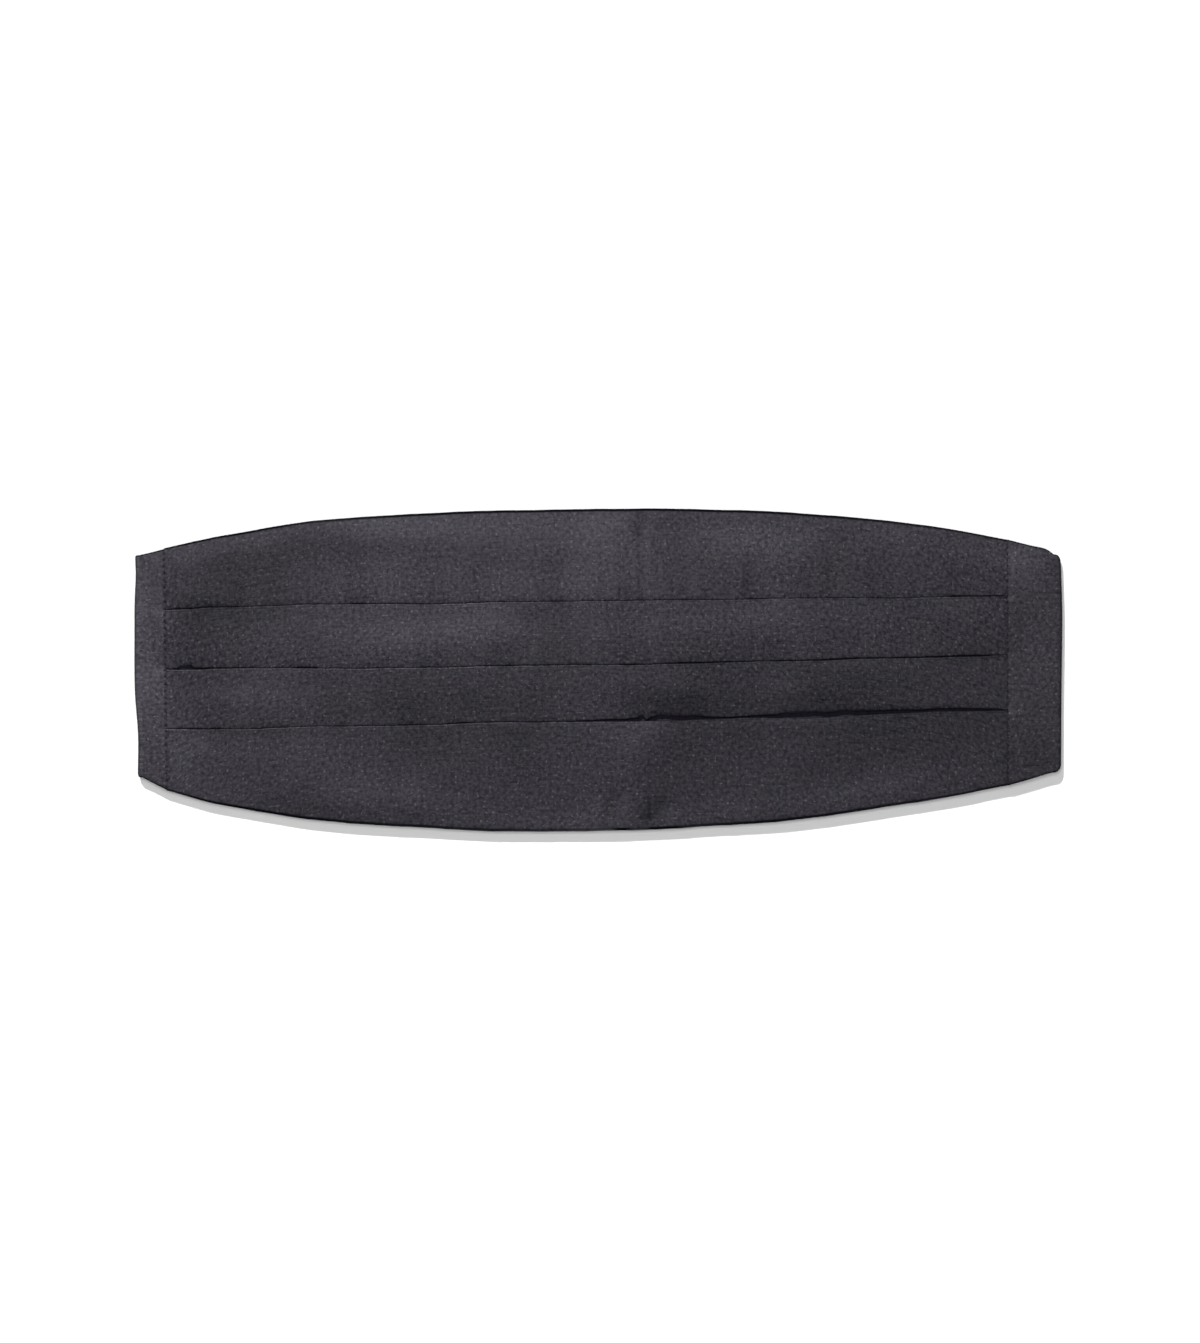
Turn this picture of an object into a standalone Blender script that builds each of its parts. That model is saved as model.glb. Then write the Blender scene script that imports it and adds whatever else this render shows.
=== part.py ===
"""Cummerbund, lying flat and face up, fastened into its waist loop and pressed flat.

Frame: +X across the front to the right, +Y up the front, +Z up off the surface.
The underside of the end panels and straps rests on z = 0.
Sizes below are in millimetres and are turned into metres when points are made.
"""

import math
from collections import namedtuple

import bmesh
import bpy

MM = 0.001

# ---------------------------------------------------------------- driving sizes
CLOTH = 1.0          # thickness of the cloth wall
GAP = 0.3            # clear distance between neighbouring pieces
SEAM_HALF = 0.2      # each piece stops this far from the seam line
LAYER = 1.4          # from the middle of one folded layer to the middle of the next
UNDERLAP = 10.0      # how far each pleat runs in under the next band
HEM = 11.0           # cloth turned under along the top and bottom edges
FOLD_STEPS = 5       # flats round a pressed fold
FACE_STEPS = 6       # flats across one band

SEAM_LEFT = (-173.6, -172.6)     # x of the left seam at its top and bottom
SEAM_RIGHT = (163.8, 164.1)      # x of the right seam at its top and bottom
STATIONS = 20                    # sections along the front

PANEL_RISE = 3.2     # middle of the end panel's cloth above the surface, on the face
PANEL_INNER = 90.0   # where the folded-back panel ends, from the middle
STRAP_WIDTH = 30.0
STRAP_TURN = 16.0    # strap end turned back and sewn down
BAR_X = 12.0         # outer edge of the loop's turn, from the middle

PLATE = 1.0          # thickness of the clasp plates
PLATE_WIDTH = 34.0

OVER_ONE = CLOTH + GAP                       # just clear of one layer of cloth
OVER_CLASP = 3.0 * CLOTH + 2.0 * GAP + GAP   # just clear of the strap round its bar

# The front, section by section: where each edge and each pleat's fold lies.
Section = namedtuple("Section", "x top pleat1 pleat2 pleat3 bottom")
SECTIONS = (
    Section(-174, 48.7, 24.2, 0.6, -23.4, -47.8),
    Section(-150, 53.9, 25.2, 0.9, -23.4, -54.1),
    Section(-115, 59.6, 26.4, 1.0, -22.5, -59.7),
    Section(-75, 62.6, 26.6, 1.0, -21.8, -62.8),
    Section(-35, 64.1, 27.3, 2.0, -20.6, -64.5),
    Section(0, 64.6, 27.8, 2.2, -20.2, -64.3),
    Section(35, 64.7, 28.1, 2.9, -19.1, -63.0),
    Section(75, 63.3, 28.8, 3.9, -18.1, -60.2),
    Section(115, 60.1, 29.0, 4.9, -16.7, -54.8),
    Section(145, 55.9, 29.5, 5.7, -15.9, -49.7),
    Section(164, 52.3, 29.8, 6.2, -15.8, -46.0),
)

# The end panels' long edges on the face, from the seam out to the fold.
Edge = namedtuple("Edge", "x top bottom")
LEFT_EDGES = (
    Edge(-173.1, 48.7, -48.0),
    Edge(-180.0, 47.0, -44.8),
    Edge(-184.0, 46.1, -42.9),
)
RIGHT_EDGES = (
    Edge(164.0, 52.3, -46.0),
    Edge(174.0, 50.0, -43.5),
    Edge(180.6, 48.6, -41.7),
    Edge(184.0, 46.4, -40.9),
)

# The outer fold of each end panel, as seen from above.
Fold = namedtuple("Fold", "y x")
LEFT_FOLD = (
    Fold(46.0, -185.3),
    Fold(38.0, -184.9),
    Fold(16.0, -185.5),
    Fold(-8.0, -185.4),
    Fold(-26.0, -184.1),
    Fold(-43.0, -184.2),
)
RIGHT_FOLD = (
    Fold(46.4, 185.0),
    Fold(38.0, 185.4),
    Fold(22.0, 185.8),
    Fold(-8.0, 185.5),
    Fold(-41.0, 185.3),
)

# How round the fold's corners are.
Corners = namedtuple("Corners", "top bottom")
LEFT_CORNERS = Corners(1.0, 1.4)
RIGHT_CORNERS = Corners(2.4, 3.2)


# ---------------------------------------------------------------- small helpers
def smooth(t):
    """0 to 1 with level ends."""
    t = min(1.0, max(0.0, t))
    return t * t * (3.0 - 2.0 * t)


def curve_through(rows, key, column, at):
    """Smooth value of one column of a table, at a value of its key column."""
    rows = sorted(rows, key=lambda row: getattr(row, key))
    ks = [getattr(row, key) for row in rows]
    vs = [getattr(row, column) for row in rows]
    n = len(rows)
    slopes = []
    for i in range(n):
        lo, hi = max(0, i - 1), min(n - 1, i + 1)
        slopes.append((vs[hi] - vs[lo]) / (ks[hi] - ks[lo]))
    if at <= ks[0]:
        return vs[0] + slopes[0] * (at - ks[0])
    if at >= ks[-1]:
        return vs[-1] + slopes[-1] * (at - ks[-1])
    i = max(j for j in range(n - 1) if ks[j] <= at)
    h = ks[i + 1] - ks[i]
    t = (at - ks[i]) / h
    return ((2 * t ** 3 - 3 * t ** 2 + 1) * vs[i] + (t ** 3 - 2 * t ** 2 + t) * h * slopes[i]
            + (-2 * t ** 3 + 3 * t ** 2) * vs[i + 1] + (t ** 3 - t ** 2) * h * slopes[i + 1])


def seam_x(seam, y):
    """x of a seam at a height up the front."""
    high, low = seam
    return low + (high - low) * (y + 48.0) / 98.0


# ---------------------------------------------------------------- materials
def cloth_material(name, colour, roughness):
    material = bpy.data.materials.new(name)
    material.use_nodes = True
    shader = material.node_tree.nodes["Principled BSDF"]
    shader.inputs["Base Color"].default_value = (*colour, 1.0)
    shader.inputs["Roughness"].default_value = roughness
    shader.inputs["Metallic"].default_value = 0.0
    return material


def metal_material(name, colour, roughness):
    material = cloth_material(name, colour, roughness)
    material.node_tree.nodes["Principled BSDF"].inputs["Metallic"].default_value = 1.0
    return material


# ---------------------------------------------------------------- sheet maker
def sheet_object(name, place, steps_u, steps_v, thickness, material, collection,
                 hole=None, smooth_angle=40.0):
    """A grid laid out by place(u, v) in mm, given its thickness with Solidify.

    hole(i, j) leaves out the cell in column i and row j.
    """
    mesh = bpy.data.meshes.new(name)
    bm = bmesh.new()
    bmesh.ops.create_grid(bm, x_segments=steps_u, y_segments=steps_v, size=0.5)
    if hole is not None:
        gone = []
        for face in bm.faces:
            centre = face.calc_center_median()
            i = int((centre.x + 0.5) * steps_u)
            j = int((centre.y + 0.5) * steps_v)
            if hole(i, j):
                gone.append(face)
        bmesh.ops.delete(bm, geom=gone, context="FACES")
    for vert in bm.verts:
        u = round((vert.co.x + 0.5) * steps_u)
        v = round((vert.co.y + 0.5) * steps_v)
        x, y, z = place(u, v)
        vert.co = (x * MM, y * MM, z * MM)
    bmesh.ops.recalc_face_normals(bm, faces=bm.faces)
    bm.to_mesh(mesh)
    bm.free()
    mesh.shade_smooth()
    mesh.set_sharp_from_angle(angle=math.radians(smooth_angle))
    obj = bpy.data.objects.new(name, mesh)
    obj.data.materials.append(material)
    collection.objects.link(obj)
    wall = obj.modifiers.new("wall", "SOLIDIFY")
    wall.thickness = thickness * MM
    wall.offset = 0.0
    wall.use_even_offset = True
    return obj


# ---------------------------------------------------------------- the front
def rest_height(x, zone):
    """How high the lowest layer of a zone lies above the surface.

    The pleats bridge the folded-back panels and straps, with a low swell over
    the clasp; the hems come down to the surface between the panels.
    """
    away = abs(x + 4.6)
    if zone in ("top", "bottom"):
        return OVER_ONE * smooth((away - 132.0) / 16.0)
    share = {"pleat1": 0.6, "pleat2": 1.0, "pleat3": 0.6}[zone]
    return OVER_ONE + (OVER_CLASP - OVER_ONE) * share * smooth((70.0 - abs(x)) / 48.0)


def arc(centre_y, low_layer, side, base, rising):
    """Points round a pressed fold between two layers.

    side is +1 where the fold's nose points up the front, -1 where it points down.
    """
    radius = LAYER / 2.0
    centre_z = base + CLOTH / 2.0 + LAYER * (low_layer + 0.5)
    points = []
    for i in range(FOLD_STEPS + 1):
        turn = math.pi * i / FOLD_STEPS
        height = -math.cos(turn) if rising else math.cos(turn)
        points.append((centre_y + side * radius * math.sin(turn), centre_z + radius * height))
    return points


def face(y_start, z_start, flat_to, y_end, z_end, rise_from):
    """A band of cloth that leaves one level, hangs across, and meets another."""
    points = []
    span = flat_to - rise_from
    for i in range(1, FACE_STEPS):
        t = i / FACE_STEPS
        y = y_start + (y_end - y_start) * t
        drop = smooth((flat_to - y) / span)
        points.append((y, z_start + (z_end - z_start) * drop))
    return points


def front_profile(x):
    """The cloth's path up the section at x, as (y, z) points from hem to hem."""
    row = {name: curve_through(SECTIONS, "x", name, x)
           for name in ("top", "pleat1", "pleat2", "pleat3", "bottom")}
    nose = LAYER / 2.0 + CLOTH / 2.0      # from a fold's centre to its outer face

    def level(zone, layer):
        return rest_height(x, zone) + CLOTH / 2.0 + LAYER * layer

    points = []
    # top hem, turned under
    top_fold = row["top"] - nose
    points.append((row["top"] - HEM, level("top", 0)))
    points.append((row["top"] - HEM * 0.5, level("top", 0)))
    points += arc(top_fold, 0, 1.0, rest_height(x, "top"), True)
    start_y, start_zone, start_layer = top_fold, "top", 1
    flat_to = row["top"] - HEM - 1.0
    for zone in ("pleat1", "pleat2", "pleat3"):
        outer = row[zone] - nose              # centre of the fold that shows
        inner = row[zone] - UNDERLAP + nose   # centre of the fold inside
        points += face(start_y, level(start_zone, start_layer), flat_to,
                       inner, level(zone, 0), row[zone] + 1.0)
        points += arc(inner, 0, -1.0, rest_height(x, zone), True)
        points.append(((inner + outer) / 2.0, level(zone, 1)))
        points += arc(outer, 1, 1.0, rest_height(x, zone), True)
        start_y, start_zone, start_layer = outer, zone, 2
        flat_to = row[zone] - UNDERLAP
    # bottom hem, turned under
    bottom_fold = row["bottom"] + nose
    points += face(start_y, level(start_zone, start_layer), flat_to,
                   bottom_fold, level("bottom", 1), row["bottom"] + HEM + 1.0)
    points += arc(bottom_fold, 0, -1.0, rest_height(x, "bottom"), False)
    points.append((row["bottom"] + HEM * 0.5, level("bottom", 0)))
    points.append((row["bottom"] + HEM, level("bottom", 0)))
    return points


def build_front(material, collection):
    left_mid = sum(SEAM_LEFT) / 2.0
    right_mid = sum(SEAM_RIGHT) / 2.0
    profiles = [front_profile(left_mid + (right_mid - left_mid) * i / STATIONS)
                for i in range(STATIONS + 1)]
    steps = len(profiles[0]) - 1

    def place(i, j):
        y, z = profiles[i][j]
        left = seam_x(SEAM_LEFT, y) + SEAM_HALF
        right = seam_x(SEAM_RIGHT, y) - SEAM_HALF
        return left + (right - left) * i / STATIONS, y, z

    return sheet_object("front_pleated", place, STATIONS, steps, CLOTH, material, collection)


# ---------------------------------------------------------------- the end panels
def build_panel(name, side, seam, edges, folds, corners, material, collection):
    """Plain end panel: a strip on the face, a soft fold, and a tapering back."""
    low = CLOTH / 2.0
    radius = (PANEL_RISE - low) / 2.0
    out = radius + CLOTH / 2.0
    strip, turn, back, across = 3, 8, 7, 10
    fold_top = curve_through(edges, "x", "top", edges[-1].x)
    fold_bottom = curve_through(edges, "x", "bottom", edges[-1].x)

    def fold_x(y):
        """Outermost x of the fold, drawn in at its rounded corners."""
        drawn = 0.0
        for radius_c, depth in ((corners.top, fold_top - y), (corners.bottom, y - fold_bottom)):
            if depth < radius_c:
                reach = radius_c - max(0.0, depth)
                drawn += radius_c - math.sqrt(max(0.0, radius_c ** 2 - reach ** 2))
        return curve_through(folds, "y", "x", y) - side * drawn

    def place(i, j):
        v = 0.5 - 0.5 * math.cos(math.pi * j / across)     # closer rows near the corners
        if i <= strip:
            # across the face, from the seam to where the fold starts
            t = i / strip
            x_guess = seam[0] + (edges[-1].x - seam[0]) * t
            top = curve_through(edges, "x", "top", x_guess)
            bottom = curve_through(edges, "x", "bottom", x_guess)
            y = bottom + (top - bottom) * v
            start = seam_x(seam, y) + side * SEAM_HALF
            end = fold_x(fold_bottom + (fold_top - fold_bottom) * v)
            return start + (end - side * out - start) * t, y, PANEL_RISE
        y = fold_bottom + (fold_top - fold_bottom) * v
        centre = fold_x(y) - side * out
        if i <= strip + turn:
            angle = math.pi * (i - strip) / turn
            return (centre + side * radius * math.sin(angle), y,
                    low + radius * (1.0 + math.cos(angle)))
        # beneath: from the fold in to the strap, narrowing on a gentle curve
        t = (i - strip - turn) / back
        half_end = STRAP_WIDTH / 2.0
        top = fold_top + (half_end - fold_top) * smooth(t)
        bottom = fold_bottom + (-half_end - fold_bottom) * smooth(t)
        return (centre + (side * PANEL_INNER - centre) * t,
                bottom + (top - bottom) * v, low)

    return sheet_object(name, place, strip + turn + back, across, CLOTH, material, collection)


# ---------------------------------------------------------------- the straps
def build_strap(name, side, material, collection):
    """Flat band from the panel to the clasp, its end turned back round the bar."""
    low = CLOTH / 2.0
    high = low + CLOTH + PLATE + 2.0 * GAP       # over the bar
    sewn = low + CLOTH + GAP                     # lying on the strap
    radius = (high - low) / 2.0 + 0.02
    run, turn = 4, 8
    outer_end = PANEL_INNER - GAP

    def place(i, j):
        y = STRAP_WIDTH * (j / 2.0 - 0.5)
        if i <= run:
            x = outer_end + (BAR_X - outer_end) * i / run
            return side * x, y, low
        if i <= run + turn:
            angle = math.pi * (i - run) / turn
            return (side * (BAR_X - radius * math.sin(angle)), y,
                    low + radius * (1.0 - math.cos(angle)))
        k = i - run - turn
        x, z = ((BAR_X + 2.5, high), (BAR_X + 6.5, sewn), (BAR_X + STRAP_TURN, sewn))[k - 1]
        return side * x, y, z

    return sheet_object(name, place, run + turn + 3, 2, CLOTH, material, collection)


# ---------------------------------------------------------------- the clasp
def build_plate(name, columns, rows, open_cells, material, collection):
    """Flat plate from column positions (x, z) and row positions y, with openings."""
    def place(i, j):
        x, z = columns[i]
        return x, rows[j], z

    plate = sheet_object(name, place, len(columns) - 1, len(rows) - 1, PLATE, material,
                         collection, hole=lambda i, j: (i, j) in open_cells,
                         smooth_angle=30.0)
    return plate


def build_clasp(material, collection):
    middle = CLOTH + GAP + PLATE / 2.0           # plates lie between strap layers
    half = PLATE_WIDTH / 2.0
    slot = STRAP_WIDTH / 2.0 + GAP
    # eye: bar for the strap, slot, bar, slot for the hook, bar for the hook
    eye_columns = [(x, middle) for x in (-BAR_X - 2.0, -BAR_X, -9.3, -7.3, -3.0, -1.0)]
    eye_rows = (-half, -slot, slot, half)
    build_plate("clasp_eye", eye_columns, eye_rows, {(1, 1), (3, 1)}, material, collection)
    # hook: bar for the strap, slot, plate, then a tongue under and back over the eye's bar
    low = PLATE / 2.0
    radius = (PLATE + 2.0 * GAP + PLATE) / 2.0
    hook_columns = [(BAR_X + 2.0, middle), (BAR_X, middle), (9.3, middle), (4.5, middle),
                    (3.0, middle), (0.6, low), (-3.0, low)]
    for i in range(1, 7):
        angle = math.pi * i / 6
        hook_columns.append((-3.0 - radius * math.sin(angle),
                             low + radius * (1.0 - math.cos(angle))))
    hook_columns.append((-0.8, low + 2.0 * radius))
    tongue = 8.0
    hook_rows = (-half, -slot, -tongue, tongue, slot, half)
    gone = {(1, 1), (1, 2), (1, 3)}
    for i in range(3, len(hook_columns) - 1):
        gone |= {(i, 0), (i, 1), (i, 3), (i, 4)}
    build_plate("clasp_hook", hook_columns, hook_rows, gone, material, collection)


# ---------------------------------------------------------------- the whole object
def build():
    for obj in list(bpy.data.objects):
        bpy.data.objects.remove(obj, do_unlink=True)
    collection = bpy.data.collections.new("cummerbund")
    bpy.context.scene.collection.children.link(collection)

    charcoal = (0.043, 0.040, 0.049)
    front_cloth = cloth_material("front_cloth", charcoal, 0.62)
    panel_cloth = cloth_material("panel_cloth", (0.050, 0.047, 0.057), 0.60)
    strap_cloth = cloth_material("strap_cloth", (0.030, 0.028, 0.034), 0.70)
    plate_metal = metal_material("plate_metal", (0.12, 0.12, 0.13), 0.35)

    build_front(front_cloth, collection)
    build_panel("end_panel_left", -1.0, SEAM_LEFT, LEFT_EDGES, LEFT_FOLD,
                LEFT_CORNERS, panel_cloth, collection)
    build_panel("end_panel_right", 1.0, SEAM_RIGHT, RIGHT_EDGES, RIGHT_FOLD,
                RIGHT_CORNERS, panel_cloth, collection)
    build_strap("strap_left", -1.0, strap_cloth, collection)
    build_strap("strap_right", 1.0, strap_cloth, collection)
    build_clasp(plate_metal, collection)


build()
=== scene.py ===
"""Looks of the cummerbund: fine cloth, seams, stitches and light, on the fixed frame."""

import math
from collections import namedtuple

import bpy
import numpy as np
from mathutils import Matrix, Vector


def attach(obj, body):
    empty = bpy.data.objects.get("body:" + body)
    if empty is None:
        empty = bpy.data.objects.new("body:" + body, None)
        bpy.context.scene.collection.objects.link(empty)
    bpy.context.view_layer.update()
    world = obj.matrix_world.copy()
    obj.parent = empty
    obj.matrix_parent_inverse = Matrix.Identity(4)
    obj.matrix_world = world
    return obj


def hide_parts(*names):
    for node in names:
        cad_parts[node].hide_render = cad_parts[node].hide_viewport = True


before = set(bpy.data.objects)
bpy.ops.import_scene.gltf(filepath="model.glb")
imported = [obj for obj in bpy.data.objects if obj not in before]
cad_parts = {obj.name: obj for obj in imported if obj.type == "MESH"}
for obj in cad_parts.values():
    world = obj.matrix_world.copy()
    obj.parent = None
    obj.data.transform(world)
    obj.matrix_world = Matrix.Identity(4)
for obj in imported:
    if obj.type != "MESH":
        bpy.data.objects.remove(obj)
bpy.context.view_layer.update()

MM = 0.001

# ---------------------------------------------------------------- sizes, in mm
WALL = 0.5           # thickness of the fine cloth
CAD_WALL = 1.0       # the solids' wall and the distance between their layers
CAD_LAYER = 1.4
GAP = 0.3
UNDERLAP = 10.0
HEM = 11.0
PRESSED = 0.72       # distance between the layers of a pressed pleat
SEWN = 0.50          # the same where the pleats are caught in a seam
SEAM_LEFT = (-173.6, -172.6)
SEAM_RIGHT = (163.8, 164.1)
SEAM_HALF = 0.02
PANEL_RISE = 2.75     # the middle of the strip's cloth above the floor
PANEL_INNER = 90.0
PANEL_HEM = 7.0
STRAP_WIDTH = 30.0
STRAP_TURN = 16.0
BAR_X = 12.0
ON_FLOOR = 0.28      # the middle of a layer that lies on the floor
OVER_PANEL = 0.87    # the same where a panel's back lies below
EDGE_RISE = 2.75     # the middle of the rolled edges' upper layer
ON_PANEL = 0.80      # what the pleats rest on at the ends, and over the clasp
ON_CLASP = 3.10
STITCH = 2.75        # stitch pitch

Section = namedtuple("Section", "x top pleat1 pleat2 pleat3 bottom")
SECTIONS = (
    Section(-174, 48.7, 24.2, 0.6, -23.4, -47.8),
    Section(-150, 53.9, 25.2, 0.9, -23.4, -54.1),
    Section(-115, 59.6, 26.4, 1.0, -22.5, -59.7),
    Section(-75, 62.6, 26.6, 1.0, -21.8, -62.8),
    Section(-35, 64.1, 27.3, 2.0, -20.6, -64.5),
    Section(0, 64.6, 27.8, 2.2, -20.2, -64.3),
    Section(35, 64.7, 28.1, 2.9, -19.1, -63.0),
    Section(75, 63.3, 28.8, 3.9, -18.35, -60.2),
    Section(115, 60.1, 29.0, 4.9, -16.7, -54.8),
    Section(145, 55.9, 29.5, 5.7, -15.9, -49.7),
    Section(164, 52.3, 29.8, 6.2, -15.8, -46.0),
)
Edge = namedtuple("Edge", "x top bottom")
LEFT_EDGES = (
    Edge(-173.1, 48.7, -48.0),
    Edge(-180.0, 47.0, -44.8),
    Edge(-184.0, 46.1, -42.9),
)
RIGHT_EDGES = (
    Edge(164.0, 52.3, -46.0),
    Edge(174.0, 50.0, -43.5),
    Edge(180.6, 48.6, -41.7),
    Edge(184.0, 46.4, -40.9),
)
Fold = namedtuple("Fold", "y x")
LEFT_FOLD = (
    Fold(46.0, -185.3),
    Fold(38.0, -185.05),
    Fold(28.0, -185.45),
    Fold(16.0, -185.55),
    Fold(-8.0, -185.4),
    Fold(-26.0, -184.1),
    Fold(-43.0, -184.2),
)
RIGHT_FOLD = (
    Fold(46.4, 185.0),
    Fold(38.0, 185.4),
    Fold(22.0, 185.8),
    Fold(-8.0, 185.5),
    Fold(-41.0, 185.3),
)
Corners = namedtuple("Corners", "top bottom")
LEFT_CORNERS = Corners(1.0, 1.4)
RIGHT_CORNERS = Corners(2.4, 3.2)

# How wide each pleat gapes along its length: its fold stands up and the band
# above falls in behind it.
Gape = namedtuple("Gape", "x wide")
GAPES = {
    "pleat1": (
        Gape(-173.0, 0.15), Gape(-166.0, 0.42), Gape(-160.0, 0.32), Gape(-150.0, 0.16),
        Gape(-135.0, 0.04), Gape(-110.0, 0.06), Gape(-92.0, 0.16), Gape(-78.0, 0.18),
        Gape(-60.0, 0.05), Gape(-30.0, 0.05), Gape(0.0, 0.02), Gape(40.0, 0.07),
        Gape(80.0, 0.04), Gape(110.0, 0.06), Gape(135.0, 0.12), Gape(148.0, 0.30),
        Gape(158.0, 0.38), Gape(164.0, 0.12),
    ),
    "pleat2": (
        Gape(-173.0, 0.15), Gape(-168.6, 0.45), Gape(-167.2, 1.15), Gape(-162.8, 1.20),
        Gape(-161.6, 0.50), Gape(-157.0, 0.42), Gape(-145.0, 0.16), Gape(-122.0, 0.12),
        Gape(-118.0, 0.40), Gape(-113.5, 0.42), Gape(-110.5, 0.10), Gape(-95.0, 0.10),
        Gape(-92.5, 0.28), Gape(-90.0, 0.08), Gape(-60.0, 0.12), Gape(-30.0, 0.20),
        Gape(0.0, 0.14), Gape(20.0, 0.20), Gape(38.0, 0.46), Gape(48.0, 0.36),
        Gape(65.0, 0.18), Gape(85.0, 0.32), Gape(100.0, 0.42), Gape(115.0, 0.28),
        Gape(135.0, 0.36), Gape(146.0, 0.50), Gape(158.0, 0.36), Gape(164.0, 0.15),
    ),
    "pleat3": (
        Gape(-173.0, 0.12), Gape(-165.0, 0.28), Gape(-155.0, 0.18), Gape(-140.0, 0.08),
        Gape(-110.0, 0.06), Gape(-85.0, 0.12), Gape(-60.0, 0.20), Gape(-40.0, 0.20),
        Gape(-20.0, 0.14), Gape(0.0, 0.45), Gape(9.0, 0.75), Gape(15.0, 1.00),
        Gape(17.6, 1.80), Gape(19.3, 0.15), Gape(21.0, 1.20), Gape(24.0, 1.70),
        Gape(32.0, 1.65), Gape(38.0, 1.25), Gape(44.0, 0.80), Gape(52.0, 0.48),
        Gape(60.0, 0.52), Gape(67.0, 0.95), Gape(75.0, 1.60), Gape(84.0, 1.85),
        Gape(94.0, 1.80), Gape(103.0, 1.55), Gape(115.0, 1.20), Gape(124.0, 1.00),
        Gape(135.0, 0.90), Gape(150.0, 0.95), Gape(158.0, 0.70), Gape(164.0, 0.20),
    ),
}

# How dark the painted shade line along the turned edges is, along the garment.
Line = namedtuple("Line", "x top bottom")
EDGE_SHADE_LINES = (
    Line(-174.0, 0.85, 0.75),
    Line(-150.0, 1.00, 1.00),
    Line(-112.0, 0.85, 0.90),
    Line(-60.0, 1.00, 0.75),
    Line(-20.0, 1.00, 0.50),
    Line(-3.0, 1.00, 0.25),
    Line(5.0, 1.00, 0.35),
    Line(7.6, 1.00, 1.00),
    Line(11.2, 1.00, 1.00),
    Line(13.6, 1.00, 0.35),
    Line(18.8, 1.00, 0.35),
    Line(21.2, 1.00, 1.00),
    Line(30.8, 1.00, 1.00),
    Line(34.0, 1.00, 0.65),
    Line(60.0, 1.00, 0.90),
    Line(120.0, 0.85, 0.80),
    Line(164.0, 0.75, 0.75),
)

# Soft ridges (height above 0) and troughs (below 0) of the cloth.
Crease = namedtuple("Crease", "x y along across angle height")
CREASES = (
    # top band
    Crease(-30.0, 51.0, 36.0, 6.0, 1.0, 0.55),
    Crease(-150.0, 49.0, 22.0, 5.0, 14.0, 0.45),
    Crease(-78.0, 38.0, 13.0, 10.0, 78.0, 0.40),
    Crease(6.0, 46.0, 17.0, 9.0, 92.0, 0.85),
    Crease(18.5, 59.0, 6.0, 2.0, 82.0, -0.40),
    Crease(62.0, 45.0, 25.0, 7.0, -4.0, 0.40),
    Crease(120.0, 44.0, 22.0, 9.0, -12.0, 0.30),
    # second band
    Crease(-78.0, 9.0, 24.0, 6.0, 4.0, 0.70),
    Crease(-172.0, 15.0, 34.0, 10.0, 90.0, 0.60),
    Crease(40.0, 15.0, 24.0, 6.0, 2.0, 0.25),
    Crease(-26.0, 14.0, 8.0, 5.0, 70.0, -0.30),
    # third band
    Crease(-140.0, -14.0, 14.0, 5.0, 0.0, 0.35),
    Crease(27.0, -16.0, 13.0, 4.0, 4.0, -0.50),
    Crease(90.0, -14.0, 28.0, 4.0, 3.0, -0.45),
    Crease(-60.0, -12.0, 24.0, 6.0, 1.0, -0.20),
    # bottom band
    Crease(-116.0, -32.0, 14.0, 13.0, 75.0, 0.60),
    Crease(-92.0, -55.0, 24.0, 6.0, -3.0, 0.55),
    Crease(16.0, -40.0, 21.0, 6.5, 61.0, 0.85),
    Crease(100.0, -54.0, 27.0, 5.0, 11.0, 0.45),
    Crease(10.0, -57.0, 6.0, 2.0, 55.0, 0.32),
    Crease(21.6, -56.0, 7.0, 2.6, 50.0, -0.28),
    Crease(4.8, -53.0, 5.0, 1.8, 80.0, -0.24),
    Crease(-6.0, -60.0, 4.0, 1.6, 50.0, 0.15),
    Crease(62.0, -36.0, 16.0, 9.0, 78.0, -0.25),
)
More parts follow.
